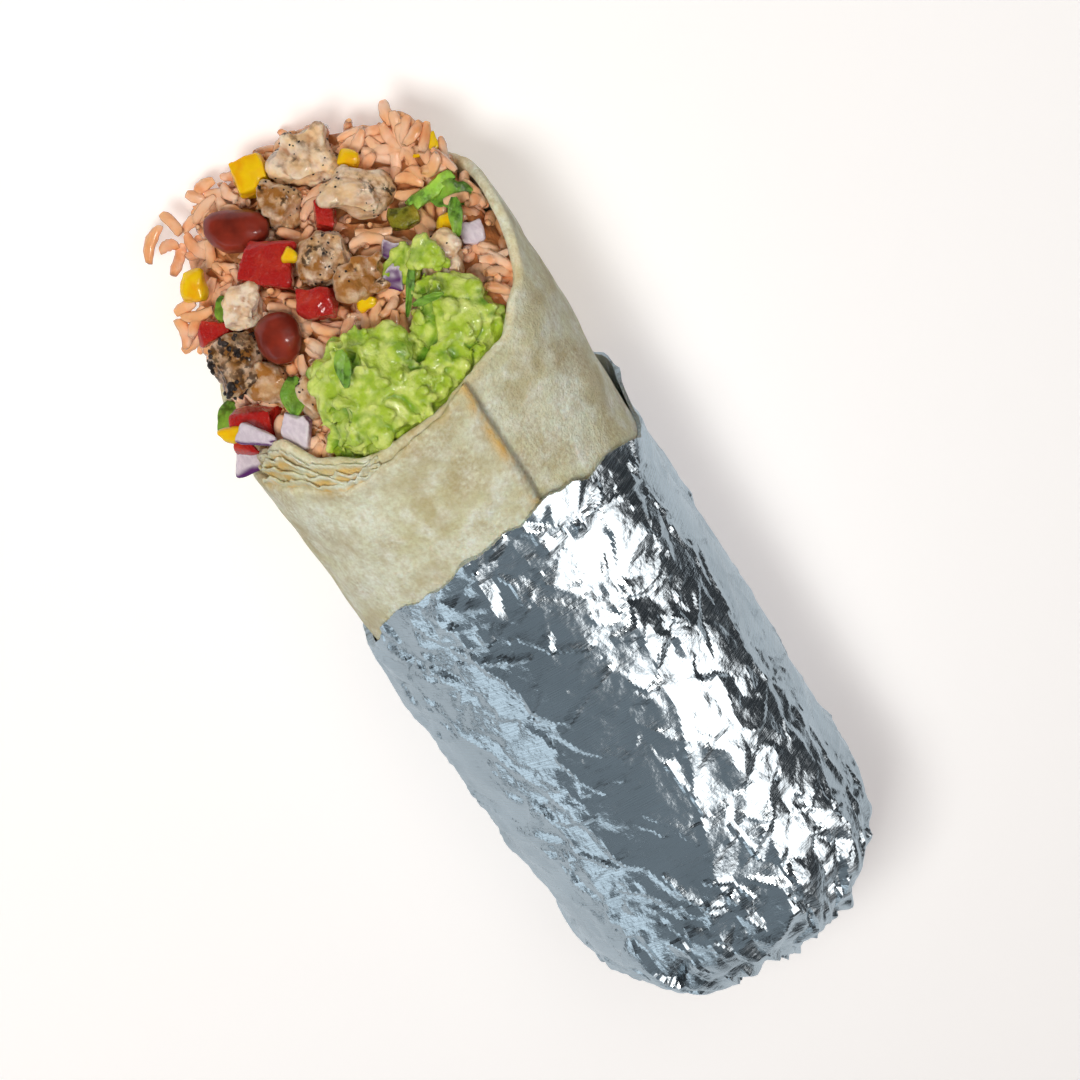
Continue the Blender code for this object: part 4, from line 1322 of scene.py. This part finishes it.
def leaf_shape(length, width, curl, fold, lobes, seed):
    """A torn leaf: a thin blade with lobed sides, folded along its middle and curled along its length."""
    rows, columns, thick = 22, 9, 0.3 * MM
    share = np.linspace(0, 1, rows)[:, None]
    side = np.linspace(-1, 1, columns)[None, :]
    outline = np.sin(math.pi * (0.06 + 0.9 * share)) ** 0.6
    outline = outline * (1 + 0.28 * np.abs(np.sin(lobes * math.pi * share + seed)))
    x = (share - 0.5) * length + 0 * side
    y = side * outline * width / 2
    z = np.abs(side) * fold * width / 2 + np.sin(math.pi * share) * curl * length
    z = z + 0.35 * MM * np.sin(7 * share + 3 * side + seed)
    top = np.stack([x, y, z], -1).reshape(-1, 3)
    points = np.concatenate([top, top - (0, 0, thick)])
    return points, [face[::-1] for face in sheet_faces(rows, columns)]


def scrap_shape(size, roundness, waviness, seed):
    """A small diced or broken scrap: a block whose corners are rounded by `roundness`, from 0 to 1."""
    points, faces = ball(4)
    power = 2 + 7 * (1 - roundness)
    points /= (np.abs(points) ** power).sum(axis=1, keepdims=True) ** (1 / power)
    points *= 1 + waviness * rough(points, 0.8, seed)[:, None]
    points[:, 1] *= 1 - 0.4 * points[:, 0]
    return points * np.array(size) * MM / 2, faces


def on_face(tree, shape, across, down, rise, turn, tip=0.0):
    """A shape laid on the heap's face, turned about the face and tipped up at its front by `tip` degrees."""
    out, up = face_axes()
    spot, _, _ = face_spot(tree, across, down, rise)
    angle, lean = math.radians(turn), math.radians(tip)
    heading = Vector((0, 1, 0)) * math.cos(angle) + up * math.sin(angle)
    facing = out * math.cos(lean) - heading * math.sin(lean)
    return placed(shape, spot, facing, heading * math.cos(lean) + out * math.sin(lean))


# Torn leaves: mm across and down the face, rise, length, width, turn, tip, curl, fold and lobes.
LEAVES = [
    (-21.3, 21.7, 1.6, 8.5, 4.6, 118, 10, 0.10, 0.3, 1.0),
    (-36.7, 26.8, 1.0, 8.0, 3.4, 137, 10, 0.12, 0.3, 1.0),
    (-23.8, 45.7, 1.2, 6.0, 3.6, 120, 0, 0.10, 0.3, 1.0),
    (30.0, 39.5, 3.2, 9.5, 5.2, 30, 5, 0.06, 0.3, 3.0),
    (28.0, 34.5, 3.0, 8.5, 2.6, 118, 0, 0.10, 0.4, 1.0),
    (12.0, 27.5, 4.5, 13.5, 1.5, 128, 5, 0.10, 0.5, 2.0),
    (13.5, 22.5, 4.2, 7.0, 1.6, 12, 5, 0.12, 0.5, 2.0),
    (-9.2, 19.8, 5.2, 8.0, 2.8, 112, 0, 0.05, 0.3, 1.0),
]


class BURRITO_OT_greens(bpy.types.Operator):
    """Shapes the green pepper and scatters torn coriander leaves"""

    bl_idname = "burrito.greens"
    bl_label = "Greens"

    def execute(self, context):
        strip = shaped("pepper_strip", "pepper_strip_cut", 0.3 * MM, 4, (3.5, 0.45, 1), (1.2, 0.12, 2))
        lime = tuple(min(1, 1.5 * c) for c in colours().leaf[:3]) + (1,)
        dress(strip, fresh_leaf("green_pepper_raw", lime, 0.22), "pepper", "pepper_strip")
        olive = shaped("pepper_olive", "pepper_softened", 0.35 * MM, 5, (3.5, 0.3, 3), (1.2, 0.08, 4))
        dress(olive, fresh_leaf("green_pepper_cooked", colours().olive, 0.2), "pepper", "pepper_olive")
        heap, _ = surface_of(FILLING + ["tortilla"])
        torn = []
        for seed, (across, down, rise, length, width, turn, tip, curl, fold, lobes) in enumerate(LEAVES):
            blade = leaf_shape(length * MM, width * MM, curl, fold, lobes, seed)
            torn.append(on_face(heap, blade, across, down, rise, turn, tip))
        leaves = joined("coriander_leaves", torn)
        dress(leaves, fresh_leaf("coriander_torn", colours().leaf, 0.3), "pepper")
        return {"FINISHED"}


# Small scraps: kind, mm across and down the face, rise, size in mm, roundness, turn and tip.
SCRAPS = [
    ("corn", 31.5, 50.5, 4.6, (3.4, 5.0, 2.6), 0.4, 70, 0),
    ("corn", 2.4, 29.7, 1.2, (4.2, 3.2, 3.0), 0.8, 20, 0),
    ("corn", -36.9, 22.4, 0.6, (3.6, 5.4, 3.4), 0.95, 110, 0),
    ("corn", -5.7, 46.8, 1.5, (3.4, 3.0, 3.0), 0.8, 60, 0),
    ("onion", -37.4, 16.0, 2.4, (5.6, 5.2, 2.2), 0.25, 35, 15),
    ("onion", -32.6, 18.9, 0.8, (8.5, 3.6, 2.4), 0.5, 49, 20),
    ("onion", 10.1, 31.2, 2.0, (5.0, 4.4, 2.2), 0.3, -40, 15),
]


class BURRITO_OT_scraps(bpy.types.Operator):
    """Drops small scraps of sweetcorn, onion and guacamole among the larger pieces"""

    bl_idname = "burrito.scraps"
    bl_label = "Scraps"

    def execute(self, context):
        heap, _ = surface_of(FILLING + ["tortilla"])
        finishes = {"corn": "sweetcorn_boiled", "onion": "red_onion_cut"}
        for kind, finish in finishes.items():
            shapes = []
            for seed, (what, across, down, rise, size, roundness, turn, tip) in enumerate(SCRAPS):
                if what == kind:
                    scrap = scrap_shape(size, roundness, 0.12, seed)
                    shapes.append(on_face(heap, scrap, across, down, rise, turn, tip))
            made = joined(kind + "_scraps", shapes)
            if kind == "onion":
                places, normals = points_of(made)
                paint(made, "skin", ramp(0.45, 0.75, normals @ np.array([0.45, -0.55, 0.70])))
            dress(made, bpy.data.materials[finish], kind)
        dabs = []
        for seed, (across, down, size) in enumerate(((13.3, 31.5, (7.5, 8.5, 5)), (18.5, 30.5, (8, 6, 3)))):
            dab = scrap_shape(size, 0.9, 0.1, seed)
            dabs.append(on_face(heap, dab, across, down, 1.4, 60))
        made = joined("guacamole_dabs", dabs)
        places, normals = points_of(made)
        tall = 1.5 * lumps(places, 2.6 * MM, 5) + 0.5 * lumps(places, 1.1 * MM, 6) - 0.9
        move_points(made, places + normals * (tall * MM)[:, None])
        # Painted shade: marks the low parts of the dabs for the material to darken.
        paint(made, "hollow_shade", ramp(0.2, -0.8, tall) * 0.6)
        dress(made, bpy.data.materials["avocado_crushed"], "guacamole")
        return {"FINISHED"}


# ---------------------------------------------------------------- stage


def area_light(name, place, aim, width, height, radiance, colour, mirrored=True, lighting=True):
    """A soft panel of the given brightness, turned to face `aim`; the mirrored ones fade to their sides.

    `mirrored` ones show in the foil, and `lighting` ones light what is matt.
    """
    data = bpy.data.lights.new(name, "AREA")
    data.shape = "RECTANGLE"
    data.size, data.size_y = width, height
    data.color = colour
    data.energy = radiance * math.pi * width * height
    lamp = bpy.data.objects.new(name, data)
    lamp.location = place
    lamp.rotation_euler = (Vector(aim) - Vector(place)).to_track_quat("-Z", "Y").to_euler()
    lamp.visible_glossy = mirrored
    lamp.visible_diffuse = lighting
    bpy.context.scene.collection.objects.link(lamp)
    if mirrored:
        data.use_nodes = True
        tree = data.node_tree
        glow = tree.nodes["Emission"]
        place = add(tree, "NewGeometry").outputs["Parametric"]
        middle = add(tree, "VectorMath", {0: place, 1: (0.5, 0.5, 0)}, operation="SUBTRACT").outputs[0]
        away = add(tree, "VectorMath", {0: middle}, operation="LENGTH").outputs["Value"]
        fade = add(tree, "MapRange", {0: away, 1: 0.18, 2: 0.62, 3: 1.0, 4: 0.12}, interpolation_type="SMOOTHSTEP")
        tree.links.new(fade.outputs[0], glow.inputs["Strength"])
    return lamp


def flat_sheet(name, left, right, front, back, height, material):
    """A flat sheet of paper of the stage."""
    corners = [(left, front, height), (right, front, height), (right, back, height), (left, back, height)]
    sheet = show_mesh(name, corners, [(0, 1, 2, 3)], False)
    sheet.data.materials.append(material)
    return sheet


class BURRITO_OT_stage(bpy.types.Operator):
    """Sets a plain pale floor, soft studio light and the camera above the burrito's mouth"""

    bl_idname = "burrito.stage"
    bl_label = "Stage"

    def execute(self, context):
        low, high = CAD_BOX
        middle = (Vector(low) + Vector(high)) / 2
        paper, tree, shader = new_finish("paper_backdrop_matt", Roughness=0.9, Specular_IOR_Level=0.1)
        shader.inputs["Base Color"].default_value = (0.86, 0.86, 0.86, 1)
        shader.inputs["Emission Color"].default_value = (1, 0.90, 0.87, 1)
        shader.inputs["Emission Strength"].default_value = 0.36
        cool, tree, shader = new_finish("table_top_white", Roughness=0.9, Specular_IOR_Level=0.1)
        shader.inputs["Base Color"].default_value = (0.50, 0.55, 0.58, 1)
        shader.inputs["Emission Color"].default_value = (0.82, 0.93, 1, 1)
        shader.inputs["Emission Strength"].default_value = 0.50
        # The sweep that the camera sees and the small table top that the foil mirrors.
        floor = flat_sheet("floor", -6.0, 6.0, -6.0, 6.0, -0.3 * MM, paper)
        floor.visible_glossy = False
        table = flat_sheet("table", -1.2, 1.2, -1.6, high[1] + 0.13, -0.5 * MM, cool)
        table.visible_camera = False
        table.visible_diffuse = False
        table.visible_shadow = False

        world = bpy.data.worlds.new("studio")
        context.scene.world = world
        world.use_nodes = True
        background = world.node_tree.nodes["Background"]
        background.inputs["Color"].default_value = (0.80, 0.90, 1.0, 1)
        background.inputs["Strength"].default_value = 0.05

        aim = middle
        area_light("key_left", (-0.36, -0.30, 1.0), aim, 0.30, 0.30, 25, (1, 1, 0.96), mirrored=False)
        area_light("top_fill", (-0.5, 0.25, 1.4), aim, 1.0, 1.0, 1.7, (1, 0.97, 0.94), mirrored=False)
        area_light("panel_left", (0.56, -1.15, 0.42), aim, 2.8, 0.62, 1.2, (0.76, 0.90, 1.0), lighting=False)
        area_light("ceiling", (0.56, -0.40, 1.12), aim, 2.4, 1.7, 0.24, (0.72, 0.88, 1.0), lighting=False)
        area_light("softbox_right", (0.50, 0.68, 0.76), aim, 1.4, 0.95, 2.7, (1, 1, 1), lighting=False)
        mouth = Vector((RIM_TOP, MIDDLE, AXIS_HEIGHT))
        area_light("spark", mouth + Vector((-0.11, 0.53, 1.07)), mouth, 0.42, 0.22, 30, (1, 0.98, 0.95),
                   lighting=False)

        camera = bpy.data.objects.new("camera", bpy.data.cameras.new("camera"))
        context.scene.collection.objects.link(camera)
        tilt = math.radians(65)
        back = Vector((-math.cos(tilt), 0, math.sin(tilt)))
        along = Vector((math.sin(tilt), 0, math.cos(tilt)))
        turn = math.radians(56.6)
        right = math.cos(turn) * along + math.sin(turn) * Vector((0, 1, 0))
        up = -math.sin(turn) * along + math.cos(turn) * Vector((0, 1, 0))
        view = Vector((-0.0018, 0.0050, 0.0292))
        distance, width = 1.1, 0.2376
        camera.matrix_world = Matrix.Translation(view + back * distance) @ Matrix(
            (right, up, back)).transposed().to_4x4()
        camera.data.sensor_width = 36
        camera.data.lens = 36 * distance / width
        camera.data.clip_start = 0.01
        context.scene.camera = camera
        context.scene.view_settings.view_transform = "Standard"
        return {"FINISHED"}


class BURRITO_PT_parts(bpy.types.Panel):
    """Lists the burrito's sizes, colours and parts"""

    bl_idname = "BURRITO_PT_parts"
    bl_label = "Burrito"
    bl_space_type = "VIEW_3D"
    bl_region_type = "UI"
    bl_category = "Burrito"

    def draw(self, context):
        for group in (context.scene.burrito_sizes, context.scene.burrito_colours):
            box = self.layout.box()
            for name in group.__annotations__:
                box.prop(group, name)
        for operator in OPERATORS:
            self.layout.operator(operator.bl_idname)


OPERATORS = (
    BURRITO_OT_foil, BURRITO_OT_tortilla, BURRITO_OT_plies, BURRITO_OT_rice, BURRITO_OT_guacamole, BURRITO_OT_beans,
    BURRITO_OT_chicken, BURRITO_OT_tomato, BURRITO_OT_corn, BURRITO_OT_onion, BURRITO_OT_greens,
    BURRITO_OT_scraps, BURRITO_OT_stage,
)


def register():
    for kind in (BurritoSizes, BurritoColours, *OPERATORS, BURRITO_PT_parts):
        bpy.utils.register_class(kind)
    bpy.types.Scene.burrito_sizes = PointerProperty(type=BurritoSizes)
    bpy.types.Scene.burrito_colours = PointerProperty(type=BurritoColours)


def unregister():
    del bpy.types.Scene.burrito_sizes
    del bpy.types.Scene.burrito_colours
    for kind in reversed((BurritoSizes, BurritoColours, *OPERATORS, BURRITO_PT_parts)):
        bpy.utils.unregister_class(kind)


def main():
    register()
    for operator in OPERATORS:
        family, name = operator.bl_idname.split(".")
        getattr(getattr(bpy.ops, family), name)()


if __name__ == "__main__":
    main()
